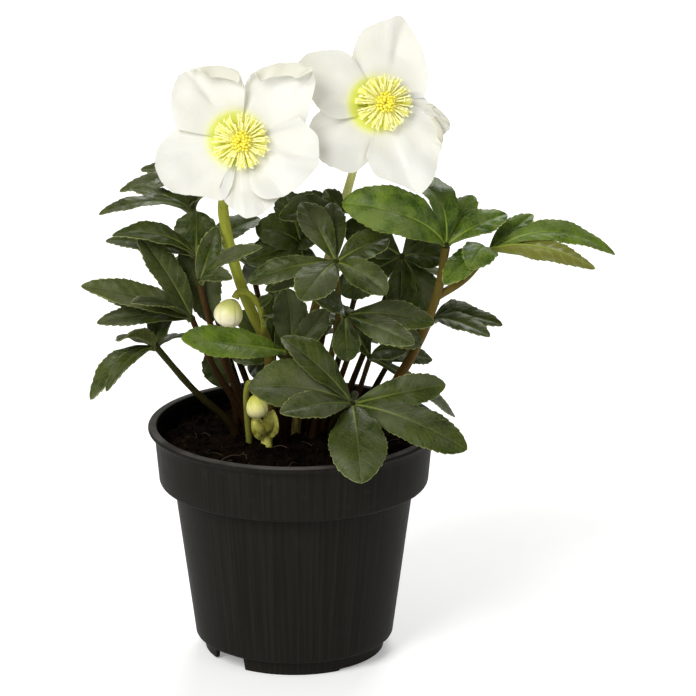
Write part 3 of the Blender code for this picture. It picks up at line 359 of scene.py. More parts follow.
BLOOM_2_SEPALS = {
    "top": (
        -0.4, 0.0,
        (-13.0, 20.0), (-8.9, 30.6), (-2.2, 34.1), (4.4, 36.3), (8.6, 37.2), (12.4, 33.7), (16.8, 24.8),
        (19.8, 16.0), (20.2, 8.4), (18.0, 1.5),
    ),
    "upper_left": (
        1.8, 0.0,
        (-12.5, 19.5), (-17.9, 23.0), (-24.8, 23.5), (-31.6, 22.6), (-36.9, 19.5), (-38.3, 14.2),
        (-34.7, 7.1), (-31.4, 1.8), (-27.2, -3.5), (-21.4, -6.2), (-13.0, -5.6),
    ),
    "lower_left": (
        -0.2, 0.0,
        (-25.0, 0.5), (-32.2, -6.2), (-33.6, -11.5), (-32.4, -19.1), (-28.3, -24.8), (-21.5, -28.4),
        (-14.8, -29.7), (-8.0, -25.0),
    ),
    "bottom": (
        1.6, 0.0,
        (-9.3, -23.0), (-5.8, -31.0), (1.3, -34.6), (8.2, -37.7), (12.6, -40.3), (17.9, -35.9),
        (21.1, -29.2), (23.3, -20.4), (24.4, -13.7), (20.8, -6.6), (13.5, -1.5),
    ),
    "right": (
        -1.6, 0.0,
        (16.0, 4.5), (20.8, -1.0), (25.2, -5.4), (28.0, -10.6), (24.4, -16.0), (17.0, -14.0),
    ),
}

# Bloom stems and buds
STEM_1 = (
    (-11, 12),
    ((-11, 8, 135), (-19, 0, 158), (-25, -7, 178), (-29.5, -12, 200), (-30, -15, 213), (-26, -21, 230)),
)
STEM_1_RADII = (2.7, 2.1)
STEM_2 = ((1, 9), ((6, 8, 140), (17, 14, 183), (23.5, 13, 207), (30.5, 4, 233)))
STEM_2_RADII = (2.2, 1.6)
BUD_1_CENTRE = (-28, -18, 161.5)
BUD_1_RADIUS = 6.3
BUD_1_LENGTH = 12.8
BUD_1_LEAN = (0.4, 0.2, 0.9)
BUD_1_PEDICEL = (
    (-14, 5, 144), (-13, -3, 152), (-15, -9, 162), (-19.5, -13.5, 169),
    (-23.8, -15.8, 170.4), (-25.3, -16.6, 167.7),
)
BRACTS = (((-15, -9, 162), (-9, -14, 168)), ((-13, -4, 153), (-9, -13, 158)))
BRACT_WIDTH = 4.5
BRACT_ARCH = 1.5
BRACT_FOLD = 0.3
BRACT_FACING = (0.3, -0.7, 0.6)
PEDICEL_RADII = (1.5, 1.2)
BUD_2_CENTRE = (-16, -17, 118)
BUD_2_RADIUS = 4.8
BUD_2_LENGTH = 11.0
BUD_2_LEAN = (-0.1, 0.3, 1.0)
BUD_2_STEM = ((-20, -3), ((-21, -8, 118), (-20, -12, 127), (-17.5, -15, 127.8), (-16.5, -15.4, 124.2)))
BUD_2_STEM_RADII = (1.5, 1.1)
SHOOT_PLACE = (-12, -5)
SHOOTS = ((-18, -12, 111), (-9, -13, 115))
SHOOT_WIDTH = 8.0
SHOOT_FACING = (0.0, -0.9, 0.4)
SHOOT_FOOT = ((STALK_FOOT, 2.4), (92.0, 2.5), (97.0, 2.6), (100.0, 2.3), (103.0, 0.8))
SHEATH_PLACE = 0.55
SHEATH_SHIFT = (0.0, -1.2, 0.0)
SHEATH_RADII = (3.0, 2.2, 5.2)
BUD_FOLDS = 5
BUD_TWIST = 0.35
BUD_SEAM_TURN = 0.45
BUD_STEP = 0.05
BUD_VALLEY = 0.022
BUD_VALLEY_WIDTH = 0.06
BUD_TAPER = 0.18
BUD_SHARP = 80.0

# Sepals
SEPAL_THICKNESS = 0.6
SEPAL_RAYS = 81
SEPAL_RINGS = 22
SEPAL_CUP = 5.0
CUP_RADIUS = 36.0
SEPAL_WAVE = 0.8
SEPAL_RIPPLE = 1.5
RIPPLE_FINENESS = 0.09
EDGE_RIPPLE = 0.5
RISE_START = 10.0
RISE_LENGTH = 12.0
RIM_WIDTH = 1.5
CREASE_FADE = 0.35
FAN_MM = 60.0
CURL_CORE = 0.4
CURL_RADIUS = 1.3
CURL_ANGLE = 2.85
ARC_STEPS = 8
FLAP_STEPS = 5

# Unevenness of the sepals' edges: how large and how fine, and which part of the noise.
EDGE_JITTER = ((0.012, 14, 7.0, 0.0), (0.010, 48, 5.0, 4.0))

# The cones that carry the sepals and the stamens, as (height, radius).
RECEPTACLE_BACK = -2.4
SEPAL_CONE = ((RECEPTACLE_BACK, 3.2), (-1.8, 4.2), (-0.9, 5.0), (0.0, 5.6), (0.5, 5.8))
STAMEN_CONE = ((0.9, 4.4), (1.8, 4.3), (2.7, 3.9), (3.4, 3.2))
CONE_SIDES = 32

# Places in a bloom are (radius, height).
NECTARY_RING = (6.1, 1.4)
RING_RADIUS = 0.9
RING_STEPS = 40
NECTARIES = 12
NECTARY_REACH = (10.2, 11.4)
NECTARY_LEVEL = (2.6, 3.6)
NECTARY_BASE = (6.0, 1.6)
NECTARY_BEND = (8.6, 4.6)
NECTARY_RADII = (0.6, 0.75, 0.95, 1.15, 1.3, 1.4, 1.45, 1.6, 1.3, 1.1, 0.5)
STYLES = 6
STYLE_PATH = ((1.0, 3.0), (1.1, 8.5), (2.4, 10.2))
STYLE_RADII = (1.0, 0.95, 0.8, 0.62, 0.5, 0.42, 0.4, 0.45)
THREAD_RADII = (0.42, 0.27)
THREAD_FOOT = 2.9
THREAD_POINTS = 7
THREAD_BOW = 0.35
ANTHER_SIZES = ((0.42, 0.56), (0.32, 0.42), (0.7, 1.0))
ANTHER_FLATNESS = 0.18
YOUNG_ANTHERS = 34
YOUNG_ANTHER_RADII = (0.75, 0.62, 1.05)
YOUNG_THREAD_RADIUS = 0.3
GOLDEN_ANGLE = 2.39996
DOME_RADIUS = 4.3
DOME_HEIGHT = 9.2
DOME_FALL = 0.11

# Each ring of stamens: how many, how far out and forward their tips stand, and the radius of their feet.
STAMEN_RINGS = (
    (32, (10.8, 12.4), (4.4, 5.8), 3.6),
    (28, (9.4, 11.2), (5.8, 7.2), 3.0),
    (16, (7.0, 9.4), (7.0, 8.2), 2.6),
)

# Nectaries that reach out past the stamens: their angle round the bloom in degrees.
LONG_NECTARIES = {"bloom_1": (143.0, 198.0), "bloom_2": (166.0, 205.0)}
LONG_NECTARY_SPREAD = 16.0
LONG_NECTARY_EXTRA = 1.2

# Middle of the yellow-green patch on the sepals, in each bloom's own right and up.
HALOS = {"bloom_1": (-2.6, 1.4), "bloom_2": (-3.8, -0.6)}

# Rolled rims: where along the outline, how far to each side, and how wide the flap is.
CURLS = {
    "bloom_1 upper_left": ((0.72, 0.26, 4.5),),
    "bloom_1 upper_right": ((0.40, 0.34, 6.0),),
    "bloom_2 bottom": ((0.80, 0.14, 2.5),),
    "bloom_2 right": ((0.45, 0.3, 2.5),),
}

# Valleys along the sepals: where along the outline, how wide, how deep and from which share of the length.
CREASES = {
    "bloom_1 upper_left": ((0.50, 0.05, 1.6, 0.45),),
    "bloom_1 upper_right": ((0.12, 0.06, 1.0, 0.30), (0.70, 0.10, 0.8, 0.50)),
    "bloom_1 right": ((0.30, 0.08, 1.2, 0.30), (0.72, 0.07, 1.2, 0.45)),
    "bloom_1 bottom": ((0.35, 0.08, 1.0, 0.20),),
    "bloom_1 left": ((0.30, 0.08, 1.0, 0.45), (0.66, 0.08, 1.0, 0.40)),
    "bloom_2 top": ((0.52, 0.09, 1.3, 0.35),),
    "bloom_2 upper_left": ((0.45, 0.14, 0.9, 0.35),),
    "bloom_2 lower_left": ((0.30, 0.10, 1.2, 0.35),),
    "bloom_2 bottom": ((0.62, 0.09, 1.2, 0.35), (0.30, 0.10, 0.8, 0.40)),
}

# Lights: place in metres, size and power.
WORLD_LIGHT = 0.32
LIGHTS = {
    "key": ((-1.15, -1.7, 1.8), 1.3, 52.0),
    "fill": ((1.7, -1.3, 1.2), 1.0, 4.0),
    "back": ((0.3, 1.7, 1.8), 1.3, 28.0),
}
FLOOR_HALF = 4
FLOOR_GLOW = 0.28
FLOOR_COLOURS = ((0.93, 0.93, 0.92), (0.95, 0.95, 0.94))

# Colours of edges, marks and grains, and of painted highlight and shade on the pot
LEAF_MARGIN = (0.400, 0.430, 0.140)
LEAF_UNDER = (0.075, 0.085, 0.025)
STALK_GREEN = (0.090, 0.110, 0.018)
SEPAL_WHITE = (0.757, 0.747, 0.678)
SEPAL_SHADE = (0.733, 0.718, 0.630)
SEPAL_BACK = (0.690, 0.665, 0.520)
SEPAL_LINE = (0.780, 0.765, 0.640)
SEPAL_EDGE = (0.740, 0.725, 0.600)
SEPAL_SCATTER = (1.0, 0.85, 0.55)
BUD_SEAM = (0.460, 0.450, 0.120)
BUD_SMUDGE = (0.640, 0.500, 0.330)
BUD_TIP = (0.620, 0.420, 0.360)
NECTARY_FOOT = (0.860, 0.850, 0.120)
NECTARY_MOUTH = (0.900, 0.890, 0.260)
POT_BLACK = (0.0105, 0.0097, 0.0078)
POT_STREAK = (0.0165, 0.0152, 0.0126)
POT_SCRATCH = (0.0320, 0.0295, 0.0240)
POT_DUST = (0.0340, 0.0310, 0.0250)
# Pale line along the bead's top: partly wear, partly a painted highlight.
POT_WORN_HIGHLIGHT = (0.1100, 0.1050, 0.0930)
# Near black: painted shade on the pot's inner wall below the rim.
POT_INSIDE_SHADE = (0.0012, 0.0010, 0.0008)
SOIL_DARK = (0.0022, 0.0015, 0.0010)
SOIL_LUMP = (0.0080, 0.0046, 0.0026)
SOIL_GRAIN = (0.0200, 0.0105, 0.0055)
SOIL_SPECK = (0.0900, 0.0560, 0.0280)

# The yellow-green patch: where it starts to fade and where it has gone, with its colour.
HALO_LAYERS = ((10.5, 15.5, (0.800, 0.810, 0.440)), (9.5, 13.2, (0.700, 0.740, 0.120)))

# Leaves: deep, light, painted sheen and vein colour, and edge and underside where they differ from the usual
# ones.
LEAF_COLOURS = {
    "leaf": (
        (0.015, 0.025, 0.003), (0.050, 0.067, 0.010), (0.086, 0.092, 0.048), (0.190, 0.230, 0.045),
    ),
    # A lighter copy of the leaf colours, painted as if lit, with stronger painted sheen.
    "lit_sheen_leaf": (
        (0.030, 0.042, 0.010), (0.078, 0.092, 0.024), (0.120, 0.125, 0.075), (0.210, 0.250, 0.060),
    ),
    # The young leaf's wide range from deep to light is partly painted highlight, placed at random.
    "young_leaf": (
        (0.016, 0.044, 0.003), (0.112, 0.172, 0.014), (0.140, 0.180, 0.050), (0.300, 0.400, 0.045),
        (0.380, 0.450, 0.090), (0.160, 0.165, 0.030),
    ),
}

# Stalks: foot, top and spot colour, and the heights in metres between which foot turns into top.
STALK_COLOURS = {
    "stalk": ((0.025, 0.011, 0.004), (0.088, 0.045, 0.013), (0.012, 0.005, 0.002), 0.100, 0.215),
    "green_stalk": ((0.018, 0.011, 0.003), (0.030, 0.033, 0.007), (0.010, 0.008, 0.002), 0.098, 0.150),
    "tan_stalk": ((0.060, 0.020, 0.005), (0.165, 0.064, 0.018), (0.050, 0.015, 0.005), 0.100, 0.165),
    "stem": ((0.120, 0.070, 0.018), (0.340, 0.370, 0.045), (0.130, 0.120, 0.022), 0.115, 0.170),
    "pale_stem": ((0.095, 0.052, 0.018), (0.800, 0.810, 0.310), (0.420, 0.450, 0.090), 0.165, 0.208),
    "low_stem": ((0.150, 0.130, 0.030), (0.330, 0.350, 0.060), (0.100, 0.095, 0.020), 0.095, 0.122),
}

# Threads of the brush: roughness, the two colours, how fine the grains are and how deep.
THREAD_COLOURS = {
    "filament": (0.5, (0.960, 0.940, 0.480), (0.950, 0.915, 0.360), 500.0, 0.0001),
    "anther": (0.75, (0.970, 0.945, 0.560), (0.950, 0.895, 0.400), 1800.0, 0.0002),
    "style": (0.5, (0.970, 0.900, 0.120), (0.950, 0.840, 0.060), 700.0, 0.0001),
}

# Thin yellow threads and the nectaries glow faintly: a painted glow that stands in for light passing through
# them, so their shaded sides stay bright.
PAINTED_THREAD_GLOW = {"Emission_Color": (0.900, 0.800, 0.120, 1.0), "Emission_Strength": 0.05}


class Value:
    """A number or colour that a material works out. Sums and products of values are worked out too."""

    def __init__(self, graph, socket):
        self.graph = graph
        self.socket = socket

    def __add__(self, other):
        return self.graph.math("ADD", self, other)

    def __sub__(self, other):
        return self.graph.math("SUBTRACT", self, other)

    def __mul__(self, other):
        return self.graph.math("MULTIPLY", self, other)

    def __truediv__(self, other):
        return self.graph.math("DIVIDE", self, other)

    def __abs__(self):
        return self.graph.math("ABSOLUTE", self)

    def fraction(self):
        return self.graph.math("FRACT", self)


class Graph:
    """Short calls that build one material's nodes round its shader."""

    def __init__(self, name, roughness, **shader_values):
        self.material = bpy.data.materials.new(name)
        self.material.use_nodes = True
        self.tree = self.material.node_tree
        self.shader = self.tree.nodes["Principled BSDF"]
        self.shader.inputs["Roughness"].default_value = roughness
        for key, value in shader_values.items():
            self.shader.inputs[key.replace("_", " ")].default_value = value

    def put(self, socket, value):
        if isinstance(value, Value):
            self.tree.links.new(value.socket, socket)
        elif isinstance(value, tuple) and socket.type == "RGBA":
            socket.default_value = (*value, 1.0)
        else:
            socket.default_value = value

    def node(self, kind, *filled):
        """A new node of this kind, its inputs filled as (key, value)."""
        made = self.tree.nodes.new("ShaderNode" + kind)
        for key, value in filled:
            self.put(made.inputs[key], value)
        return made

    def math(self, operation, first, second=0.0):
        made = self.node("Math", (0, first), (1, second))
        made.operation = operation
        return Value(self, made.outputs[0])

    def ramp(self, value, low, high, start=0.0, end=1.0):
        """Start below low and end above high, smooth between them."""
        limits = (("From Min", low), ("From Max", high), ("To Min", start), ("To Max", end))
        made = self.node("MapRange", ("Value", value), *limits)
        made.interpolation_type = "SMOOTHSTEP"
        return Value(self, made.outputs["Result"])

    def fall(self, value, low, high):
        return self.ramp(value, low, high, 1.0, 0.0)

    def mix(self, share, first, second):
        made = self.node("Mix", (0, share), (6, first), (7, second))
        made.data_type = "RGBA"
        return Value(self, made.outputs[2])

    def noise(self, vector, scale, detail=2.0):
        made = self.node("TexNoise", ("Vector", vector), ("Scale", scale), ("Detail", detail))
        return Value(self, made.outputs["Fac"])

    def cells(self, vector, scale, feature="DISTANCE_TO_EDGE"):
        made = self.node("TexVoronoi", ("Vector", vector), ("Scale", scale))
        made.feature = feature
        return Value(self, made.outputs["Distance"])

    def combine(self, x, y, z=0.0):
        return Value(self, self.node("CombineXYZ", (0, x), (1, y), (2, z)).outputs[0])

    def split(self, vector):
        return [Value(self, socket) for socket in self.node("SeparateXYZ", (0, vector)).outputs]

    def attribute(self, name):
        made = self.node("Attribute")
        made.attribute_name = name
        return self.split(Value(self, made.outputs["Vector"]))

    def place(self):
        """The place of a point in metres."""
        return Value(self, self.node("TexCoord").outputs["Object"])

    def done(self, colour, bump=None, distance=0.0002, strength=1.0, roughness=None):
        self.put(self.shader.inputs["Base Color"], colour)
        if roughness is not None:
            self.put(self.shader.inputs["Roughness"], roughness)
        if bump is not None:
            made = self.node("Bump", ("Distance", distance), ("Strength", strength), ("Height", bump))
            self.put(self.shader.inputs["Normal"], Value(self, made.outputs["Normal"]))
        return self.material


def leaf_look(name, deep, light, painted_sheen, vein, margin=LEAF_MARGIN, under=LEAF_UNDER):
    """Dark upper side with a pale midrib, faint side veins in a fine net, greyish patches of painted sheen
    and a pale edge; paler underside.
    """
    g = Graph(name, 0.42, Specular_IOR_Level=0.25, Specular_Tint=(0.80, 0.90, 0.62, 1.0))
    share, across, to_edge = g.attribute("place")
    along_mm, across_mm, side_seed = g.attribute("measure")
    off_rib = abs(across_mm)
    seed = abs(side_seed)
    spot = g.combine(along_mm, across_mm, seed * 31.0)
    fine = g.noise(spot, 0.9, 3.0)
    tone = g.noise(spot, 0.10, 3.0) * 0.75 + fine * 0.25
    base = g.mix(g.ramp(tone, 0.36, 0.64), deep, light)
    # Broad greyish patches of painted sheen.
    sheen_patches = g.noise(g.combine(along_mm, across_mm, seed * 57.0), 0.06, 4.0)
    base = g.mix(g.ramp(sheen_patches, 0.45, 0.62, 0.0, 0.65), base, painted_sheen)
    base = g.mix(g.ramp((seed * 7.0).fraction(), 0.25, 0.9, 0.0, 0.28), base, deep)
    hand = g.math("GREATER_THAN", across, 0.0) * 0.5
    phase = (along_mm - off_rib * VEIN_SLANT) / VEIN_PITCH + g.noise(spot, 0.16, 1.0) * 0.5
    side_veins = g.ramp(abs((phase + (hand + seed)).fraction() - 0.5), 0.455, 0.495)
    net = g.fall(g.cells(spot, 0.55), 0.0, 0.10)
    rib = g.fall(off_rib / g.ramp(share, 0.0, 1.0, 0.46, 0.16), 0.7, 1.35)
    edge = g.fall(to_edge, 0.05, 0.15) * g.ramp(g.noise(spot, 0.08, 1.0), 0.38, 0.64, 0.12, 0.60)
    colour = g.mix(net * 0.10, base, vein)
    colour = g.mix(side_veins * 0.15, colour, vein)
    colour = g.mix(rib * g.ramp(share, 0.05, 0.70, 0.80, 0.22), colour, vein)
    colour = g.mix(edge, colour, margin)
    under_colour = g.mix(g.math("MAXIMUM", rib, side_veins) * 0.5, under, vein)
    colour = g.mix(g.fall(side_seed, -0.5, 0.5), colour, under_colour)
    relief = fine * 0.35 - side_veins * 0.5 - net * 0.25
    return g.done(colour, relief, 0.00022, 0.7, g.ramp(tone, 0.35, 0.65, 0.28, 0.44))


def stalk_look(name, foot, top, spot_colour, change_low, change_high):
    """Finely streaked and spotted stalk that changes colour with its height, given in metres."""
    g = Graph(name, 0.50, Specular_IOR_Level=0.40, IOR=1.15)
    along_mm, across_mm, seed = g.attribute("measure")
    place = g.place()
    height = g.split(place)[2]
    drift = (g.noise(place, 60.0) - 0.5) * 0.05
    base = g.mix(g.ramp(height + drift, change_low, change_high), foot, top)
    greener = g.ramp((seed * 5.0).fraction(), 0.55, 0.75, 0.0, 0.6)
    base = g.mix(greener * g.ramp(height, change_low, change_high), base, STALK_GREEN)
    streaks = g.noise(g.combine(across_mm * 3.0, along_mm * 0.12, seed), 1.0, 3.0)
    colour = g.mix(g.ramp(streaks, 0.35, 0.75, 0.0, 0.35), base, spot_colour)
    spots = g.fall(g.cells(place, 900.0, "F1"), 0.16, 0.30)
    colour = g.mix(spots * g.ramp(g.noise(place, 300.0), 0.48, 0.62) * 0.7, colour, spot_colour)
    return g.done(colour, streaks, 0.0002, 0.6)


def sepal_look():
    """White with faint lines and soft patches, and a yellow-green patch round the middle of the bloom."""
    through = {"Subsurface_Weight": 0.30, "Subsurface_Scale": 0.004, "Subsurface_Radius": SEPAL_SCATTER}
    g = Graph("sepal", 0.55, Sheen_Weight=0.04, **through)
    share, _, side = g.attribute("place")
    reach_mm, turn_mm, phase = g.attribute("measure")
    lines = g.noise(g.combine(turn_mm * 0.9, reach_mm * 0.04, phase), 1.0, 3.0)
    colour = g.mix(g.ramp(g.noise(g.place(), 45.0), 0.40, 0.68), SEPAL_WHITE, SEPAL_SHADE)
    colour = g.mix(g.ramp(side, -0.5, 0.5, 0.8, 0.0), colour, SEPAL_BACK)
    colour = g.mix(g.ramp(lines, 0.45, 0.75, 0.0, 0.16), colour, SEPAL_LINE)
    front = g.ramp(side, -0.5, 0.5, 0.45, 1.0)
    for near, far, tint in HALO_LAYERS:
        colour = g.mix(g.fall(reach_mm, near, far) * front, colour, tint)
    colour = g.mix(g.ramp(share, 0.92, 1.0, 0.0, 0.30), colour, SEPAL_EDGE)
    return g.done(colour, lines, 0.0003, 0.35)


def grained_look(name, roughness, first, second, scale, depth=0.0002, **shader_values):
    """A surface of two colours in soft grains, with the same grains as its relief."""
    g = Graph(name, roughness, **shader_values)
    grains = g.noise(g.place(), scale, 4.0)
    return g.done(g.mix(g.ramp(grains, 0.38, 0.64), first, second), grains, depth, 0.8)


def bud_look(name, pale, green_side):
    """Cream, greener towards its stem, with darker seams, and with brownish smudges near its tip."""
    g = Graph(name, 0.45, Subsurface_Weight=0.1, Subsurface_Scale=0.002)
    height, angle, _ = g.attribute("measure")
    place = g.place()
    seam = (angle * (BUD_FOLDS / tau) + height * BUD_TWIST + BUD_SEAM_TURN).fraction()
    soft = g.noise(place, 240.0, 3.0)
    colour = g.mix(g.ramp(height + soft * 0.5, -0.55, 1.0), pale, green_side)
    colour = g.mix(g.ramp(abs(seam - 0.5), 0.43, 0.49, 0.0, 0.28), colour, BUD_SEAM)
    smudge = g.ramp(g.noise(place, 110.0), 0.55, 0.70, 0.0, 0.4) * g.fall(height, -0.7, 0.1)
    colour = g.mix(smudge, colour, BUD_SMUDGE)
    colour = g.mix(g.ramp(height, -1.0, -0.9, 0.45, 0.0), colour, BUD_TIP)
    return g.done(colour, soft, 0.0002, 0.4)


def nectary_look():
    # Painted glow, the same as the threads', keeps the nectaries' shaded sides bright.
    g = Graph("nectary", 0.35, **PAINTED_THREAD_GLOW)
    colour = g.mix(g.ramp(g.attribute("place")[0], 0.2, 0.75), NECTARY_FOOT, NECTARY_MOUTH)
    return g.done(colour, g.noise(g.place(), 900.0), 0.0001, 0.5)


def pot_look():
    """Charcoal plastic with faint upright streaks, a little dust and fine scratches, a pale line along the
    bead's top that is partly wear and partly painted highlight, and painted shade on the pot's inner wall
    below the rim.
    """
    g = Graph("pot", 0.5, Specular_IOR_Level=0.09, IOR=1.25)
    round_share = g.attribute("place")[0]
    along_mm, height_mm, _ = g.attribute("measure")
    place = g.place()
    streaks = g.noise(g.combine(along_mm * 0.5, height_mm * 0.012), 1.0, 4.0)
    fine = g.noise(g.combine(along_mm * 3.0, height_mm * 0.10), 1.0, 3.0)
    grain = g.noise(place, 2500.0)
    dust = g.ramp(g.noise(place, 160.0, 4.0), 0.58, 0.75) * g.ramp(height_mm, 60.0, 104.0, 0.05, 0.30)
    # A pale broken line along the bead's top, partly wear and partly painted highlight.
    worn_and_highlight = g.ramp(height_mm, 104.3, 104.8) * g.ramp(g.noise(place, 45.0), 0.30, 0.60, 0.2, 0.7)
    # Painted shade on the pot's inner wall below the rim.
    inside_shade = g.fall(round_share, *INSIDE_SHARES) * g.ramp(height_mm, 102.0, 103.5, 0.85, 0.0)
    colour = g.mix(g.ramp(streaks, 0.35, 0.70), POT_BLACK, POT_STREAK)
    colour = g.mix(g.ramp(fine, 0.66, 0.80, 0.0, 0.25), colour, POT_SCRATCH)
    for share, tint in ((dust, POT_DUST), (worn_and_highlight, POT_WORN_HIGHLIGHT), (inside_shade, POT_INSIDE_SHADE)):
        colour = g.mix(share, colour, tint)
    rough = g.ramp(streaks, 0.3, 0.7, 0.40, 0.52) + fine * 0.08
    return g.done(colour, grain * 0.4 + fine * 0.6, 0.00012, 0.8, rough)


def soil_look():
    g = Graph("soil", 0.95, Specular_IOR_Level=0.20, IOR=1.10)
    place = g.place()
    grains = g.noise(place, 900.0, 6.0)
    lumps = g.noise(place, 170.0, 3.0)
    specks = g.fall(g.cells(place, 420.0, "F1"), 0.10, 0.22)
    colour = g.mix(g.ramp(lumps, 0.35, 0.65), SOIL_DARK, SOIL_LUMP)
    colour = g.mix(g.ramp(grains, 0.52, 0.72, 0.0, 0.55), colour, SOIL_GRAIN)
    colour = g.mix(specks * g.ramp(lumps, 0.56, 0.66, 0.0, 0.8), colour, SOIL_SPECK)
    return g.done(colour, grains, 0.0009, 1.0)


LOOKS = {
    "shoot": grained_look("shoot", 0.40, (0.760, 0.740, 0.160), (0.520, 0.480, 0.085), 220.0),
    "fibre": grained_look("fibre", 0.85, (0.020, 0.012, 0.006), (0.085, 0.045, 0.020), 60.0),
    "sepal": sepal_look(),
    "nectary": nectary_look(),
    "bud": bud_look("bud", (0.880, 0.830, 0.580), (0.640, 0.650, 0.160)),
    "low_bud": bud_look("low_bud", (0.900, 0.870, 0.360), (0.760, 0.740, 0.130)),
    "pot": pot_look(),
    "soil": soil_look(),
}
LOOKS.update({name: leaf_look(name, *colours) for name, colours in LEAF_COLOURS.items()})
LOOKS.update({name: stalk_look(name, *colours) for name, colours in STALK_COLOURS.items()})
# The threads' looks carry the same painted glow.
LOOKS.update({name: grained_look(name, *colours, **PAINTED_THREAD_GLOW) for name, colours in THREAD_COLOURS.items()})


class Piece:
    """The points, faces and pattern numbers of one piece."""

    def __init__(self):
        self.points = []
        self.faces = []
        self.looks = []
        self.place = []
        self.measure = []

    def point(self, where, place, measure):
        self.points.append(Vector(where))
        self.place.append(place)
        self.measure.append(measure)
        return len(self.points) - 1

    def face(self, corners, look=0):
        self.faces.append(tuple(corners))
        self.looks.append(look)

    def grid(self, rows, look=0, round_about=False):
        """Four-sided faces between rows of points, closed on themselves where round_about is true."""
        for row, following in zip(rows, rows[1:]):
            for index in range(0 if round_about else 1, len(row)):
                self.face((row[index - 1], row[index], following[index], following[index - 1]), look)


def put_in_scene(name, data):
    made = bpy.data.objects.new(name, data)
    bpy.context.scene.collection.objects.link(made)
    return made


def build(piece, name, nodes, looks, sharp_degrees=50.0):
    """Makes the piece, which rides on the plant's one body and stands for the named solids."""
    mesh = bpy.data.meshes.new(name)
    mesh.from_pydata([point * MM for point in piece.points], [], piece.faces)
    mesh.polygons.foreach_set("material_index", piece.looks)
    for key, values in (("place", piece.place), ("measure", piece.measure)):
        held = mesh.attributes.new(key, "FLOAT_VECTOR", "POINT")
        held.data.foreach_set("vector", [number for value in values for number in value])
    bm = bmesh.new()
    bm.from_mesh(mesh)
    bmesh.ops.recalc_face_normals(bm, faces=bm.faces)
    bm.to_mesh(mesh)
    bm.free()
    mesh.shade_smooth()
    mesh.set_sharp_from_angle(angle=radians(sharp_degrees))
    for look in looks:
        mesh.materials.append(LOOKS[look])
    made = put_in_scene(name, mesh)
    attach(made, "root")
    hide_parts(*nodes)
    return made


def smooth_route(points, count):
    """Count points on a smooth curve that passes the given points."""
    knots = [Vector(point) for point in points]
    knots.insert(0, knots[0] * 2 - knots[1])
    knots.append(knots[-1] * 2 - knots[-2])
    spans = len(knots) - 3
    route = []
    for index in range(count):
        place = spans * index / (count - 1)
        span = min(int(place), spans - 1)
        t = place - span
        a, b, c, d = knots[span : span + 4]
        bend = (c - a) * t + (2 * a - 5 * b + 4 * c - d) * t**2 + (3 * b - a - 3 * c + d) * t**3
        route.append(b + bend * 0.5)
    return route


def risen_route(place, passing, count):
    """A smooth route that stands upright in the soil and then passes the given points."""
    return smooth_route([(*place, STALK_FOOT), (*place, STRAIGHT_TOP), *passing], count)


def bow_point(start, over, end, share):
    return start * (1 - share) ** 2 + over * 2 * share * (1 - share) + end * share**2


def bowed(start, over, end, count):
    """Count points on a bow from start to end that leans towards over."""
    return [bow_point(start, over, end, index / (count - 1)) for index in range(count)]


def eased(value, low, high):
    """0 below low, 1 above high, and smooth between them."""
    share = min(max((value - low) / (high - low), 0.0), 1.0)
    return share * share * (3 - 2 * share)


def taper(count, foot, top):
    return [foot + (top - foot) * index / (count - 1) for index in range(count)]


def turned_to(direction):
    """The turn that points a piece's own Z axis along a direction."""
    return direction.to_track_quat("Z", "Y").to_matrix()


def add_tube(piece, route, radii, sides, seed=0.0, look=0, ripple=0.0):
    """A round body along a route, with a radius for each of its points, closed at both ends."""
    along = 0.0
    rows = []
    across = None
    for index, centre in enumerate(route):
        before = route[max(index - 1, 0)]
        after = route[min(index + 1, len(route) - 1)]
        ahead = (after - before).normalized()
        if across is None:
            across = ahead.orthogonal()
        across = (across - ahead * across.dot(ahead)).normalized()
        beside = ahead.cross(across)
        along += (centre - before).length
        share = index / (len(route) - 1)
        row = []
        for side in range(sides):
            angle = tau * side / sides
            radius = radii[index] * (1 + ripple * sin(TUBE_RIDGES * angle + seed))
            where = centre + (across * cos(angle) + beside * sin(angle)) * radius
            row.append(piece.point(where, (share, side / sides, 0.0), (along, radius * angle, seed)))
        rows.append(row)
    piece.grid(rows, look, round_about=True)
    piece.face(rows[0][::-1], look)
    piece.face(rows[-1], look)


def add_ball(piece, centre, radii, turn, sides, rings, seed, look, shape=None):
    """An egg with three radii; shape(angle, height) scales it sideways."""
    rows = []
    for ring in range(1, rings):
        lean = pi * ring / rings
        height = cos(lean)
        row = []
        for side in range(sides):
            angle = tau * side / sides
            wide = sin(lean) * (shape(angle, height) if shape else 1.0)
            spot = (wide * cos(angle) * radii[0], wide * sin(angle) * radii[1], height * radii[2])
            measure = (height, angle, seed)
            row.append(piece.point(centre + turn @ Vector(spot), (ring / rings, side / sides, 0.0), measure))
        rows.append(row)
    piece.grid(rows, look, round_about=True)
    for pole, row, share in ((1, rows[0], 0.0), (-1, rows[-1], 1.0)):
        where = centre + turn @ Vector((0, 0, pole * radii[2]))
        end = piece.point(where, (share, 0.5, 0.0), (pole, 0.0, seed))
        for side in range(sides):
            piece.face((row[side - 1], row[side], end), look)


def rim_of(rows):
    """The points round the edge of a grid of rows."""
    return rows[0] + [row[-1] for row in rows[1:]] + rows[-1][-2::-1] + [row[0] for row in rows[-2:0:-1]]


def close_sheet(piece, layers, look):
    """The faces of a thin sheet: its two sides and the rim between them."""
    for rows in layers.values():
        piece.grid(rows, look)
    over, under = rim_of(layers[1]), rim_of(layers[-1])
    for index in range(len(over)):
        piece.face((over[index - 1], over[index], under[index], under[index - 1]), look)


def blade_half_width(share, width, tip_shape):
    """Half the width of a leaflet at this share of its length. A larger tip shape makes its tip blunter."""
    half = (width / 2) * max(sin(pi * share**tip_shape), 0.0) ** BLADE_FULLNESS
    half *= 1 - NARROW_BASE * (1 - min(share / NARROW_SHARE, 1.0)) ** 2
    return max(half, SHANK_HALF_WIDTH * (1 - share) + TIP_HALF_WIDTH)


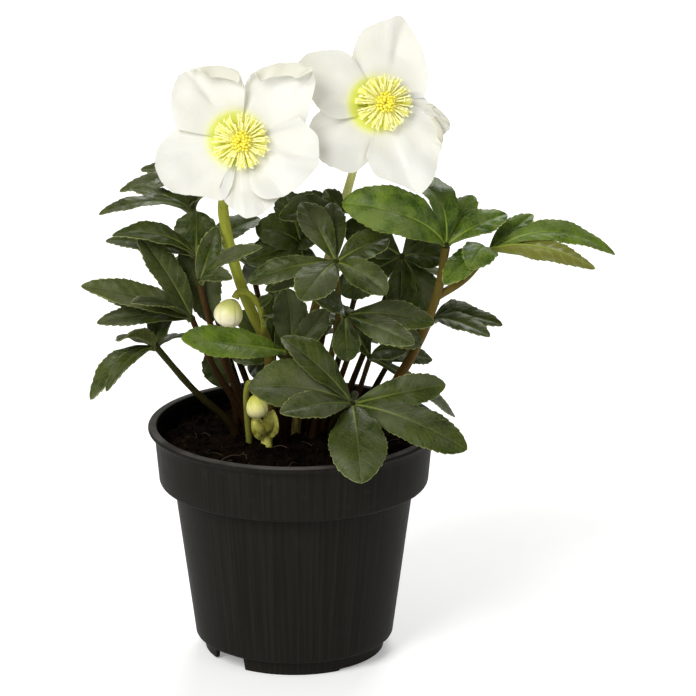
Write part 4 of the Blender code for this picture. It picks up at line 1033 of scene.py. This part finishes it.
def add_leaflet(piece, hub, facing, leaflet, tip_shape, draw, look=0, teeth_depth=TOOTH_DEPTH):
    """One leaflet: an arched, toothed blade with a sunken midrib, quilted between its side veins."""
    tip, width, arch, roll, fold = leaflet
    base = Vector(hub)
    tip = Vector(tip)
    chord = tip - base
    along = chord.normalized()
    upper = Matrix.Rotation(radians(roll), 3, along) @ Vector(facing)
    upper = (upper - along * upper.dot(along)).normalized()
    over = base + chord * ARCH_PLACE + upper * arch * 2
    seed = draw.random()
    bend = draw.uniform(-1.0, 1.0) * SIDEWAYS_BEND * chord.length
    teeth = max(round(chord.length * (1 - TEETH_START) / TOOTH_PITCH), FEWEST_TEETH)
    stations = teeth * TOOTH_STATIONS
    shares = [TEETH_START * index / BASAL_STATIONS for index in range(BASAL_STATIONS)]
    shares += [TEETH_START + (1 - TEETH_START) * index / stations for index in range(stations + 1)]
    layers = {1: [], -1: []}
    reach = 0.0
    last = base
    for number, share in enumerate(shares):
        point = bow_point(base, over, tip, share)
        tangent = ((over - base) * (1 - share) + (tip - over) * share).normalized()
        side = tangent.cross(upper).normalized()
        normal = side.cross(tangent)
        point = point + side * bend * sin(pi * share)
        reach += (point - last).length
        last = point
        half = blade_half_width(share, width, tip_shape)
        thick = BLADE_THICKNESS + (SHANK_THICKNESS - BLADE_THICKNESS) * max(1 - share / SHANK_SHARE, 0.0)
        tooth = 0.0
        if number >= BASAL_STATIONS:
            step = (number - BASAL_STATIONS) % TOOTH_STATIONS
            tooth = teeth_depth * (step / (TOOTH_STATIONS - 1)) * min((1 - share) * TOOTH_FADE, 1.0)
        for rows in layers.values():
            rows.append([])
        for column in COLUMNS:
            outward = abs(column)
            hand = 1 if column > 0 else -1
            at_edge = tooth if outward == 1.0 else 0.0
            wave = WAVE * half * sin(WAVE_TURNS * share + hand + base.x) * outward
            wave += RUFFLE * half * sin(RUFFLE_TURNS * share + 2.0 * hand + 9.0 * seed) * outward**2
            vein = (reach - outward * half * VEIN_SLANT) / VEIN_PITCH + seed + 0.5 * (hand > 0)
            dome = sin(pi * outward)
            quilt = QUILT_DEPTH * cos(tau * vein) * dome * min(half / QUILT_HALF_WIDTH, 1.0)
            height = fold * half * outward + wave + CROWN * half * dome - quilt
            groove = MIDRIB_GROOVE * max(1 - outward * half / GROOVE_HALF_WIDTH, 0.0)
            height -= groove * min((1 - share) * 4, 1.0)
            below = thick + RIB_DEPTH * max(1 - outward * half / RIB_HALF_WIDTH, 0.0) * (1 - share)
            place = (share, column, max(half * (1 - outward), 0.0))
            for layer, rows in layers.items():
                level = height if layer > 0 else height - below
                where = point + side * (half * column + at_edge * hand) + normal * level
                where += tangent * (at_edge * TOOTH_LEAN)
                rows[-1].append(piece.point(where, place, (reach, half * column, layer * (1 + seed))))
    close_sheet(piece, layers, look)


def make_leaf(name):
    hub, facing, *leaflets = LEAVES[name]
    draw = random.Random(f"{SEED} {name}")
    piece = Piece()
    tip_shape = BLUNT_TIP if name in BLUNT_LEAVES else POINTED_TIP
    for number, leaflet in enumerate(leaflets):
        # Some leaflets take the lighter copy, painted as if lit.
        look = 2 if number in LIT_SHEEN_LEAFLETS.get(name, ()) else 0
        add_leaflet(piece, hub, facing, leaflet, tip_shape, draw, look)
    add_ball(piece, Vector(hub), HUB_RADII, Matrix.Identity(3), 12, 8, HUB_SEED, 1)
    slot = "young_leaf" if name in YOUNG_LEAVES else "leaf"
    build(piece, "leaf_" + name + "_look", ["leaf_" + name], [slot, "green_stalk", "lit_sheen_leaf"])


def make_stalk(name):
    place, passing, foot, top = STALKS[name]
    hub = Vector(LEAVES[name][0])
    stop = hub - (hub - Vector(passing[-1])).normalized() * STALK_SHORT
    route = risen_route(place, (*passing, stop), STALK_STATIONS)
    piece = Piece()
    seed = random.Random(f"{SEED} stalk {name}").random()
    radii = taper(STALK_STATIONS, foot, top)
    for index, centre in enumerate(route):
        swell = FOOT_SWELL * max(1 - abs(centre.z - FOOT_SWELL_HEIGHT) / FOOT_SWELL_REACH, 0.0)
        swell += HUB_SWELL * max(1 - (hub - centre).length / HUB_SWELL_REACH, 0.0)
        radii[index] *= 1 + swell + STALK_UNEVEN * sin(index * 0.9 + seed * 9)
    add_tube(piece, route, radii, STALK_SIDES, seed, ripple=STALK_RIPPLE)
    if name == "right_high":
        fork = Vector(passing[-1])
        far = Vector(LEAVES["right_tip"][0])
        turn = (fork + far) / 2 + Vector(FORK_SAG)
        branch = smooth_route([fork, turn, far - (far - turn).normalized() * STALK_SHORT], FORK_STATIONS)
        add_tube(piece, branch, taper(FORK_STATIONS, *FORK_RADII), STALK_SIDES, seed, ripple=STALK_RIPPLE)
    build(piece, "stalk_" + name + "_look", ["stalk_" + name], [STALK_LOOKS.get(name, "stalk")])


class Bloom:
    """The middle of a bloom, and its own right, up and forward turned into the model's."""

    def __init__(self, centre, facing):
        forward = Vector(facing).normalized()
        right = Vector((0, 0, 1)).cross(forward).normalized()
        self.turn = Matrix((right, forward.cross(right), forward)).transposed()
        self.middle = Vector(centre)

    def at(self, x, y, height):
        return self.middle + self.turn @ Vector((x, y, height))

    def round_at(self, angle, radius, height):
        return self.at(radius * cos(angle), radius * sin(angle), height)

    def add_cone(self, piece, cone, look=0):
        heights, radii = zip(*cone)
        add_tube(piece, [self.at(0, 0, height) for height in heights], radii, CONE_SIDES, look=look)


def rim_profile(curl, flap):
    """The rim's path beyond the flat part of a sepal, as (outward, up, slope), rolled over by the curl."""
    bent = CURL_ANGLE * curl
    arc = CURL_RADIUS * CURL_ANGLE
    straight = RIM_WIDTH + (flap - RIM_WIDTH) * curl
    steps = []
    outward = up = 0.0
    for index in range(1, ARC_STEPS + FLAP_STEPS + 1):
        in_arc = index <= ARC_STEPS
        slope = bent * (index - 0.5) / ARC_STEPS if in_arc else bent
        step = arc / ARC_STEPS if in_arc else straight / FLAP_STEPS
        outward += step * cos(slope)
        up += step * sin(slope)
        steps.append((outward, up, slope))
    return steps


def add_sepal(piece, bloom, sepal, curls, creases, halo, phase):
    """One sepal: a cupped sheet with soft ripples, its rim rolled over where the photo shows it."""
    level, tilt, *outline = sepal
    rays = smooth_route([(x, y, 0.0) for x, y in outline], SEPAL_RAYS)
    layers = {1: [], -1: []}
    for number, edge in enumerate(rays):
        turn = number / (SEPAL_RAYS - 1)
        curl = 0.0
        flap = RIM_WIDTH
        for middle, spread, longest in curls:
            share = 1 - eased(abs(turn - middle), spread * CURL_CORE, spread)
            if share > curl:
                curl = share
                flap = longest
        rim = rim_profile(curl, flap)
        length = edge.length
        jitter = 1.0
        for size, fineness, shift, height in EDGE_JITTER:
            jitter += size * noise.noise(Vector((turn * fineness, phase * shift, height)))
        length *= jitter
        heading = edge.normalized()
        flat = length - max(step[0] for step in rim)
        path = [(flat * index / SEPAL_RINGS, 0.0, 0.0) for index in range(2, SEPAL_RINGS + 1)]
        path += [(flat + outward, up, slope) for outward, up, slope in rim]
        for rows in layers.values():
            rows.append([])
        for radius, up, slope in path:
            share = radius / length
            rise = min(max((radius - RISE_START) / RISE_LENGTH, 0.0), 1.0)
            cup = SEPAL_CUP * (radius / CUP_RADIUS) ** 2
            height = level * rise + tilt * (turn - 0.5) * 2 * rise + cup + up
            height += SEPAL_WAVE * share * rise * sin(8.0 * turn + phase)
            x, y = heading.x * radius, heading.y * radius
            ripple = noise.noise(Vector((x * RIPPLE_FINENESS, y * RIPPLE_FINENESS, phase * 3.7)))
            height += SEPAL_RIPPLE * ripple * rise
            height += EDGE_RIPPLE * noise.noise(Vector((turn * 9, share * 3, phase + 11.0))) * share**3
            for middle, spread, depth, start in creases:
                valley = exp(-(((turn - middle) / spread) ** 2)) * eased(share, start, start + CREASE_FADE)
                height -= depth * valley
            from_halo = (heading.xy * radius - Vector(halo)).length
            for layer, rows in layers.items():
                lift = layer * SEPAL_THICKNESS / 2
                spot = heading * (radius - sin(slope) * lift)
                spot += Vector((0, 0, height + cos(slope) * lift))
                measure = (from_halo, turn * FAN_MM, phase)
                rows[-1].append(piece.point(bloom.middle + bloom.turn @ spot, (share, turn, layer), measure))
    close_sheet(piece, layers, 0)


def make_sepals(name, bloom, sepals):
    piece = Piece()
    for phase, (key, sepal) in enumerate(sepals.items()):
        title = name + " " + key
        add_sepal(piece, bloom, sepal, CURLS.get(title, ()), CREASES.get(title, ()), HALOS[name], phase)
    bloom.add_cone(piece, SEPAL_CONE, 1)
    build(piece, name + "_sepals_look", [name + "_sepals"], ["sepal", "nectary"])


def make_nectaries(name, bloom, draw):
    """Small horns round the brush, open at their tips, on a ring."""
    piece = Piece()
    ring = [bloom.round_at(tau * index / RING_STEPS, *NECTARY_RING) for index in range(RING_STEPS + 1)]
    add_tube(piece, ring, [RING_RADIUS] * len(ring), 8)
    for index in range(NECTARIES):
        angle = tau * (index + draw.uniform(-0.2, 0.2)) / NECTARIES
        away = min(abs(degrees(angle) - long) for long in LONG_NECTARIES[name])
        reach = draw.uniform(*NECTARY_REACH) + (LONG_NECTARY_EXTRA if away < LONG_NECTARY_SPREAD else 0.0)
        mouth = bloom.round_at(angle, reach, draw.uniform(*NECTARY_LEVEL))
        horn = bowed(bloom.round_at(angle, *NECTARY_BASE), bloom.round_at(angle, *NECTARY_BEND), mouth, 8)
        inner = [horn[-1] - (horn[-1] - horn[-2]) * 0.2, horn[-2], horn[-4]]
        add_tube(piece, horn + inner, NECTARY_RADII, 10, index)
    build(piece, name + "_nectaries_look", [name + "_nectaries"], ["nectary"])


def anther_shape(angle, _):
    return 1 - ANTHER_FLATNESS * cos(2 * angle)


def add_stamen(piece, bloom, draw, angle, ring):
    """A thread that bows outward, with an anther that leans at random."""
    _, reach_range, level_range, foot = ring
    reach = draw.uniform(*reach_range)
    level = draw.uniform(*level_range)
    top = bloom.round_at(angle + draw.uniform(-0.06, 0.06), reach, level)
    over = bloom.round_at(angle, foot + (reach - foot) * THREAD_BOW, 3.4 + (level - 3.0) * 0.9)
    thread = bowed(bloom.round_at(angle, foot, THREAD_FOOT), over, top, THREAD_POINTS)
    add_tube(piece, thread, taper(THREAD_POINTS, *THREAD_RADII), 6, draw.random())
    ahead = (thread[-1] - thread[-2]).normalized()
    aside = Vector((draw.uniform(-1, 1), draw.uniform(-1, 1), draw.uniform(-0.3, 0.7)))
    turn = turned_to((ahead + bloom.turn @ aside).normalized())
    radii = [draw.uniform(*size) for size in ANTHER_SIZES]
    add_ball(piece, top, radii, turn, 8, 6, draw.random(), 1, anther_shape)


def make_stamens(name, bloom, draw):
    """Rings of open stamens, a dome of young ones in the middle, and the styles."""
    piece = Piece()
    bloom.add_cone(piece, STAMEN_CONE)
    for ring in STAMEN_RINGS:
        for index in range(ring[0]):
            angle = tau * (index + draw.uniform(-0.35, 0.35)) / ring[0]
            add_stamen(piece, bloom, draw, angle, ring)
    for index in range(YOUNG_ANTHERS):
        angle = index * GOLDEN_ANGLE
        radius = DOME_RADIUS * sqrt((index + 1.5) / (YOUNG_ANTHERS + 1))
        top = bloom.round_at(angle, radius, DOME_HEIGHT - DOME_FALL * radius**2 + draw.uniform(-0.4, 0.4))
        thread = bowed(bloom.round_at(angle, radius * 0.6, 3.0), bloom.round_at(angle, radius, 6.0), top, 5)
        add_tube(piece, thread, [YOUNG_THREAD_RADIUS] * len(thread), 6, 0.5)
        turn = turned_to(bloom.turn @ Vector((cos(angle), sin(angle), 1.6)))
        add_ball(piece, top, YOUNG_ANTHER_RADII, turn, 8, 6, draw.random(), 2)
    for index in range(STYLES):
        angle = tau * index / STYLES
        route = bowed(*[bloom.round_at(angle, *spot) for spot in STYLE_PATH], len(STYLE_RADII))
        add_tube(piece, route, STYLE_RADII, 8, 0.9, 2)
    build(piece, name + "_stamens_look", [name + "_stamens"], ["filament", "anther", "style"])


def make_bloom(name, centre, facing, sepals):
    """Makes the three pieces of a bloom and says where its stem ends."""
    bloom = Bloom(centre, facing)
    draw = random.Random(f"{SEED} {name}")
    make_sepals(name, bloom, sepals)
    make_nectaries(name, bloom, draw)
    make_stamens(name, bloom, draw)
    return bloom.at(0, 0, RECEPTACLE_BACK - GAP)


def stem_radii(count, foot, top, flare):
    radii = taper(count, foot, top)
    for index in range(count):
        left = count - 1 - index
        radii[index] *= 1 + 0.03 * sin(index * 0.8) + flare * max(1 - left / 5, 0.0)
    return radii


def add_stem(piece, stem, radii, top, facing, stations, flare, seed):
    """A bloom's stem, which comes to the bloom straight from behind."""
    place, passing = stem
    behind = top - Vector(facing).normalized() * STRAIGHT_BEHIND
    route = risen_route(place, (*passing, behind, top), stations)
    add_tube(piece, route, stem_radii(stations, *radii, flare), STEM_SIDES, seed, ripple=STEM_RIPPLE)


def add_bract(piece, base, tip, width, facing, draw, look, teeth_depth):
    leaflet = (tip, width, BRACT_ARCH, 0, BRACT_FOLD)
    add_leaflet(piece, base, facing, leaflet, POINTED_TIP, draw, look, teeth_depth)


def make_stem_1(top):
    draw = random.Random(f"{SEED} stem 1")
    piece = Piece()
    add_stem(piece, STEM_1, STEM_1_RADII, top, BLOOM_1_FACING, 70, 0.5, 0.3)
    pedicel = smooth_route(BUD_1_PEDICEL, 26)
    add_tube(piece, pedicel, stem_radii(26, *PEDICEL_RADII, 0.5), STALK_SIDES, 0.6, ripple=STEM_RIPPLE)
    for base, tip in BRACTS:
        add_bract(piece, base, tip, BRACT_WIDTH, BRACT_FACING, draw, 1, TOOTH_DEPTH * 0.5)
    build(piece, "stem_bloom_1_look", ["stem_bloom_1"], ["stem", "leaf"])


def make_stem_2(top):
    piece = Piece()
    add_stem(piece, STEM_2, STEM_2_RADII, top, BLOOM_2_FACING, 60, 0.7, 0.8)
    build(piece, "stem_bloom_2_look", ["stem_bloom_2"], ["pale_stem"])


def bud_shape(angle, height):
    """Five sepals that overlap like the leaves of a closed fan, narrower towards the stem."""
    seam = (BUD_FOLDS * (angle / tau) + BUD_TWIST * height + BUD_SEAM_TURN) % 1.0
    step = BUD_STEP * (seam - 0.5)
    valley = -BUD_VALLEY * exp(-((min(seam, 1 - seam) / BUD_VALLEY_WIDTH) ** 2))
    return (1 + step + valley) * (1 - BUD_TAPER * height)


def make_bud(name, centre, radius, length, lean, look):
    piece = Piece()
    turn = turned_to(Vector(lean).normalized())
    add_ball(piece, Vector(centre), (radius, radius, length / 2), turn, 80, 36, 0.4, 0, bud_shape)
    build(piece, name + "_look", [name], [look], BUD_SHARP)


def shoot_shape(angle, _):
    return 1 + 0.06 * sin(3 * angle)


def make_low_growth():
    """The stem of the low bud, and the young shoot with its swollen sheaths."""
    draw = random.Random(f"{SEED} low growth")
    piece = Piece()
    route = risen_route(*BUD_2_STEM, 36)
    add_tube(piece, route, stem_radii(36, *BUD_2_STEM_RADII, 0.4), STALK_SIDES, 0.2, ripple=STEM_RIPPLE)
    build(piece, "stem_bud_2_look", ["stem_bud_2"], ["low_stem"])
    piece = Piece()
    x, y = SHOOT_PLACE
    heights, radii = zip(*SHOOT_FOOT)
    add_tube(piece, [Vector((x, y, height)) for height in heights], radii, 16, 0.5)
    for tip in SHOOTS:
        base = Vector((x, y, STRAIGHT_TOP - 0.6))
        add_bract(piece, base, tip, SHOOT_WIDTH, SHOOT_FACING, draw, 0, 0.0)
        swelling = base.lerp(Vector(tip), SHEATH_PLACE) + Vector(SHEATH_SHIFT)
        turn = turned_to(Vector(tip) - base)
        add_ball(piece, swelling, SHEATH_RADII, turn, 24, 16, 0.5, 0, shoot_shape)
    build(piece, "young_shoot_look", ["young_shoot"], ["shoot"])


def add_turned(piece, profile, steps, shape):
    """A profile of (radius, height) turned round the Z axis, with flat ends.

    shape(angle, radius, height) moves its points.
    """
    rows = []
    for index, (radius, height) in enumerate(profile):
        row = []
        for step in range(steps):
            angle = tau * step / steps
            near, high = shape(angle, radius, height)
            where = (near * sin(angle), -near * cos(angle), high)
            place = (index / len(profile), step / steps, 0.0)
            row.append(piece.point(where, place, (BEAD_RADIUS * angle, high, 0.0)))
        rows.append(row)
    piece.grid(rows, 0, round_about=True)
    piece.face(rows[0])
    piece.face(rows[-1])


def softened(profile):
    """The profile with two points close to each corner, and more points along its long sides."""
    soft = []
    for index, (radius, height) in enumerate(profile):
        here = Vector((radius, height))
        before = Vector(profile[index - 1])
        after = Vector(profile[(index + 1) % len(profile)])
        for other in (before, after):
            gap = (other - here).length
            step = min(CORNER_STEP, gap * CORNER_SHARE)
            soft.append(tuple(here + (other - here) * step / gap))
        end = after + (here - after) * min(CORNER_STEP / (after - here).length, CORNER_SHARE)
        for count in range(1, SIDE_POINTS + 1):
            start = Vector(soft[-1])
            if (end - start).length > LONG_SIDE:
                soft.append(tuple(start + (end - start) * count / (SIDE_POINTS + 1)))
    return soft


def cut_drains(pot):
    """Round holes through the gutter in the pot's floor."""
    bm = bmesh.new()
    for index in range(DRAIN_HOLES):
        angle = tau * (index + 0.5) / DRAIN_HOLES
        middle = Vector((DRAIN_CIRCLE * cos(angle), DRAIN_CIRCLE * sin(angle), GUTTER_HEIGHT + WALL / 2))
        bmesh.ops.create_cone(
            bm,
            cap_ends=True,
            segments=DRAIN_SIDES,
            radius1=DRAIN_RADIUS * MM,
            radius2=DRAIN_RADIUS * MM,
            depth=4 * WALL * MM,
            matrix=Matrix.Translation(middle * MM),
        )
    mesh = bpy.data.meshes.new("drains")
    bm.to_mesh(mesh)
    bm.free()
    cutter = put_in_scene("drains", mesh)
    cut = pot.modifiers.new("drains", "BOOLEAN")
    cut.operation = "DIFFERENCE"
    cut.object = cutter
    pot.data = bpy.data.meshes.new_from_object(pot.evaluated_get(bpy.context.evaluated_depsgraph_get()))
    pot.modifiers.clear()
    pot.data.set_sharp_from_angle(angle=radians(POT_SHARP))
    bpy.data.objects.remove(cutter)


def foot_level(angle):
    """How high the foot ring is cut away at this angle."""
    turned = (degrees(angle) - NOTCH_CENTRE_ANGLE) % (360 / FOOT_NOTCHES)
    before = 360 / FOOT_NOTCHES - turned
    if min(turned, before) < NOTCH_ANGLE / 2:
        return NOTCH_HEIGHT
    return RELIEF_HEIGHT if before < NOTCH_ANGLE / 2 + RELIEF_ANGLE else 0.0


def make_pot():
    foot = FOOT_RADIUS - FOOT_WALL
    floor = GUTTER_HEIGHT + WALL
    profile = (
        (1.0, WALL),
        (FLOOR_DISC_RADIUS - 1.0, WALL),
        (FLOOR_DISC_RADIUS - 0.2, floor),
        (foot, floor),
        (BODY_FOOT_RADIUS - WALL, BODY_FOOT_HEIGHT + 1.6),
        (BODY_TOP_RADIUS - WALL, BAND_FOOT_HEIGHT + WALL),
        (BAND_FOOT_RADIUS - WALL, BAND_FOOT_HEIGHT + WALL),
        (BAND_TOP_RADIUS - WALL, POT_HEIGHT - 3.6),
        (BAND_TOP_RADIUS - WALL + 0.4, POT_HEIGHT),
        (BEAD_RADIUS - 1.0, POT_HEIGHT),
        (BEAD_RADIUS, POT_HEIGHT - 0.7),
        (BEAD_RADIUS, POT_HEIGHT - 1.9),
        (BEAD_RADIUS - 0.9, POT_HEIGHT - 2.8),
        (BAND_TOP_RADIUS, POT_HEIGHT - 3.6),
        (BAND_FOOT_RADIUS, BAND_FOOT_HEIGHT + 1.0),
        (BAND_FOOT_RADIUS - 0.6, BAND_FOOT_HEIGHT),
        (BODY_TOP_RADIUS + 0.5, BAND_FOOT_HEIGHT),
        (BODY_TOP_RADIUS, BAND_FOOT_HEIGHT - 1.2),
        (BODY_FOOT_RADIUS, BODY_FOOT_HEIGHT + 0.8),
        (BODY_FOOT_RADIUS - 0.9, BODY_FOOT_HEIGHT),
        (FOOT_RADIUS + 0.4, BODY_FOOT_HEIGHT - 0.4),
        (FOOT_RADIUS, 0.0),
        (foot, 0.0),
        (foot, GUTTER_HEIGHT),
        (FLOOR_DISC_RADIUS + 0.8, GUTTER_HEIGHT),
        (FLOOR_DISC_RADIUS, 0.0),
        (1.0, 0.0),
    )

    def shape(angle, radius, height):
        in_foot = height < NOTCH_HEIGHT and radius > foot - 0.1
        high = max(height, foot_level(angle)) if in_foot else height
        wander = POT_UNEVEN * noise.noise(Vector((angle * 3, height * 0.03, 2.0)))
        uneven = POT_OVAL * sin(2 * angle + 0.6) + wander
        return radius + (uneven if radius > EVEN_RADIUS else 0.0), high

    piece = Piece()
    add_turned(piece, softened(profile)[1:-1], POT_STEPS, shape)
    cut_drains(build(piece, "pot_look", ["pot"], ["pot"], POT_SHARP))


def soil_level(x, y):
    """How high the soil stands here, away from the wall."""
    place = Vector((x, y, 3.0))
    height = sum(depth * noise.noise(place * fineness) for depth, fineness in SOIL_SWELLS)
    height += SOIL_TOP
    height += LUMP_DEPTH * abs(noise.noise(place * LUMP_FINENESS))
    return height + GRAIN_DEPTH * noise.noise(place * GRAIN_FINENESS)


def soil_spot(draw, margin):
    """A random place on the soil, this far or further from the wall."""
    angle = draw.uniform(0, tau)
    radius = (SOIL_RADIUS - margin) * sqrt(draw.random())
    return radius * sin(angle), -radius * cos(angle)


def lumpy(start):
    return lambda angle, height: 1 + CRUMB_LUMPS * sin(3 * angle + start) * cos(2 * height + start)


def add_crumb(piece, draw):
    x, y = soil_spot(draw, CRUMB_MARGIN)
    size = CRUMB_SIZE + CRUMB_EXTRA * draw.random() ** 3
    turn = turned_to(Vector([draw.uniform(-1, 1) for _ in range(3)]))
    radii = (size, size * draw.uniform(0.6, 1.0), size * draw.uniform(0.5, 0.9))
    shape = lumpy(draw.uniform(0, 9))
    centre = Vector((x, y, soil_level(x, y) + size * CRUMB_RISE))
    add_ball(piece, centre, radii, turn, 8, 6, draw.random(), 0, shape)


def add_fibre(piece, draw):
    x, y = soil_spot(draw, FIBRE_MARGIN)
    heading = draw.uniform(0, tau)
    long = draw.uniform(*FIBRE_LENGTH)
    start = Vector((x, y, soil_level(x, y) + 0.2))
    x, y = x + long * cos(heading), y + long * sin(heading)
    if hypot(x, y) > SOIL_RADIUS - FIBRE_END_MARGIN:
        return
    end = Vector((x, y, soil_level(x, y) + draw.uniform(0.0, 1.2)))
    side = Vector((-sin(heading), cos(heading), 0)) * draw.uniform(-2.5, 2.5)
    over = (start + end) / 2 + side + Vector((0, 0, draw.uniform(0.6, 2.6)))
    thick = draw.uniform(*FIBRE_RADIUS)
    add_tube(piece, bowed(start, over, end, 9), taper(9, thick, thick * 0.6), 5, draw.random(), 1)


def make_soil():
    draw = random.Random(f"{SEED} soil")
    floor = GUTTER_HEIGHT + WALL + GAP
    ledge = BAND_FOOT_HEIGHT + WALL + GAP
    outer = [
        (SOIL_RADIUS - 0.4, SOIL_TOP - 2.5),
        (BAND_FOOT_RADIUS - WALL - GAP, ledge),
        (BODY_TOP_RADIUS - WALL - GAP, ledge),
        (BODY_FOOT_RADIUS - WALL - GAP, BODY_FOOT_HEIGHT + 1.6 + GAP * 2),
        (FOOT_RADIUS - FOOT_WALL - GAP, floor),
        (FLOOR_DISC_RADIUS - 0.6, floor),
        (FLOOR_DISC_RADIUS - 1.4, WALL + GAP),
        (0.5, WALL + GAP),
    ]
    top = [(0.5 + (SOIL_RADIUS - 1.0) * (index / SOIL_RINGS), SOIL_TOP) for index in range(SOIL_RINGS + 1)]

    def shape(angle, radius, height):
        if height < SOIL_TOP:
            return radius, height
        fall = SOIL_FALL * eased(radius, SOIL_RADIUS - 8, SOIL_RADIUS)
        return radius, soil_level(radius * sin(angle), -radius * cos(angle)) - fall

    piece = Piece()
    add_turned(piece, top + outer, SOIL_STEPS, shape)
    for _ in range(CRUMBS):
        add_crumb(piece, draw)
    for _ in range(FIBRES):
        add_fibre(piece, draw)
    build(piece, "soil_look", ["soil"], ["soil", "fibre"], 60.0)


def make_stage():
    """A pale floor, soft light from the upper left, a fill from the right and a pale sky."""
    mesh = bpy.data.meshes.new("floor")
    corners = [(x * FLOOR_HALF, y * FLOOR_HALF, 0) for x, y in ((-1, -1), (1, -1), (1, 1), (-1, 1))]
    mesh.from_pydata(corners, [], [(0, 1, 2, 3)])
    floor = put_in_scene("floor", mesh)
    g = Graph("floor", 0.7, Emission_Color=(1.0, 1.0, 1.0, 1.0), Emission_Strength=FLOOR_GLOW)
    mesh.materials.append(g.done(g.mix(g.noise(g.place(), 3.0), *FLOOR_COLOURS)))
    bpy.context.scene.view_settings.view_transform = "Standard"
    world = bpy.data.worlds.new("studio")
    world.use_nodes = True
    world.node_tree.nodes["Background"].inputs["Color"].default_value = (1.0, 1.0, 1.0, 1.0)
    world.node_tree.nodes["Background"].inputs["Strength"].default_value = WORLD_LIGHT
    bpy.context.scene.world = world
    aim = Vector(CAMERA_AIM) * MM
    for name, (place, size, power) in LIGHTS.items():
        lamp = bpy.data.lights.new(name, "AREA")
        lamp.shape = "SQUARE"
        lamp.size = size
        lamp.energy = power
        held = put_in_scene(name, lamp)
        held.location = place
        held.rotation_euler = (aim - Vector(place)).to_track_quat("-Z", "Y").to_euler()


def make_camera():
    pitch = radians(CAMERA_PITCH)
    forward = Vector((0, cos(pitch), -sin(pitch)))
    lens = bpy.data.cameras.new("camera")
    lens.sensor_width = SENSOR
    lens.lens = LENS
    lens.clip_end = 20.0
    camera = put_in_scene("camera", lens)
    camera.location = (Vector(CAMERA_AIM) - forward * CAMERA_DISTANCE) * MM
    camera.rotation_euler = forward.to_track_quat("-Z", "Y").to_euler()
    bpy.context.scene.camera = camera


make_camera()
make_stage()
make_pot()
make_soil()
for leaf_name in LEAVES:
    make_leaf(leaf_name)
for stalk_name in STALKS:
    make_stalk(stalk_name)
make_stem_1(make_bloom("bloom_1", BLOOM_1_CENTRE, BLOOM_1_FACING, BLOOM_1_SEPALS))
make_stem_2(make_bloom("bloom_2", BLOOM_2_CENTRE, BLOOM_2_FACING, BLOOM_2_SEPALS))
make_bud("bud_1", BUD_1_CENTRE, BUD_1_RADIUS, BUD_1_LENGTH, BUD_1_LEAN, "bud")
make_bud("bud_2", BUD_2_CENTRE, BUD_2_RADIUS, BUD_2_LENGTH, BUD_2_LEAN, "low_bud")
make_low_growth()
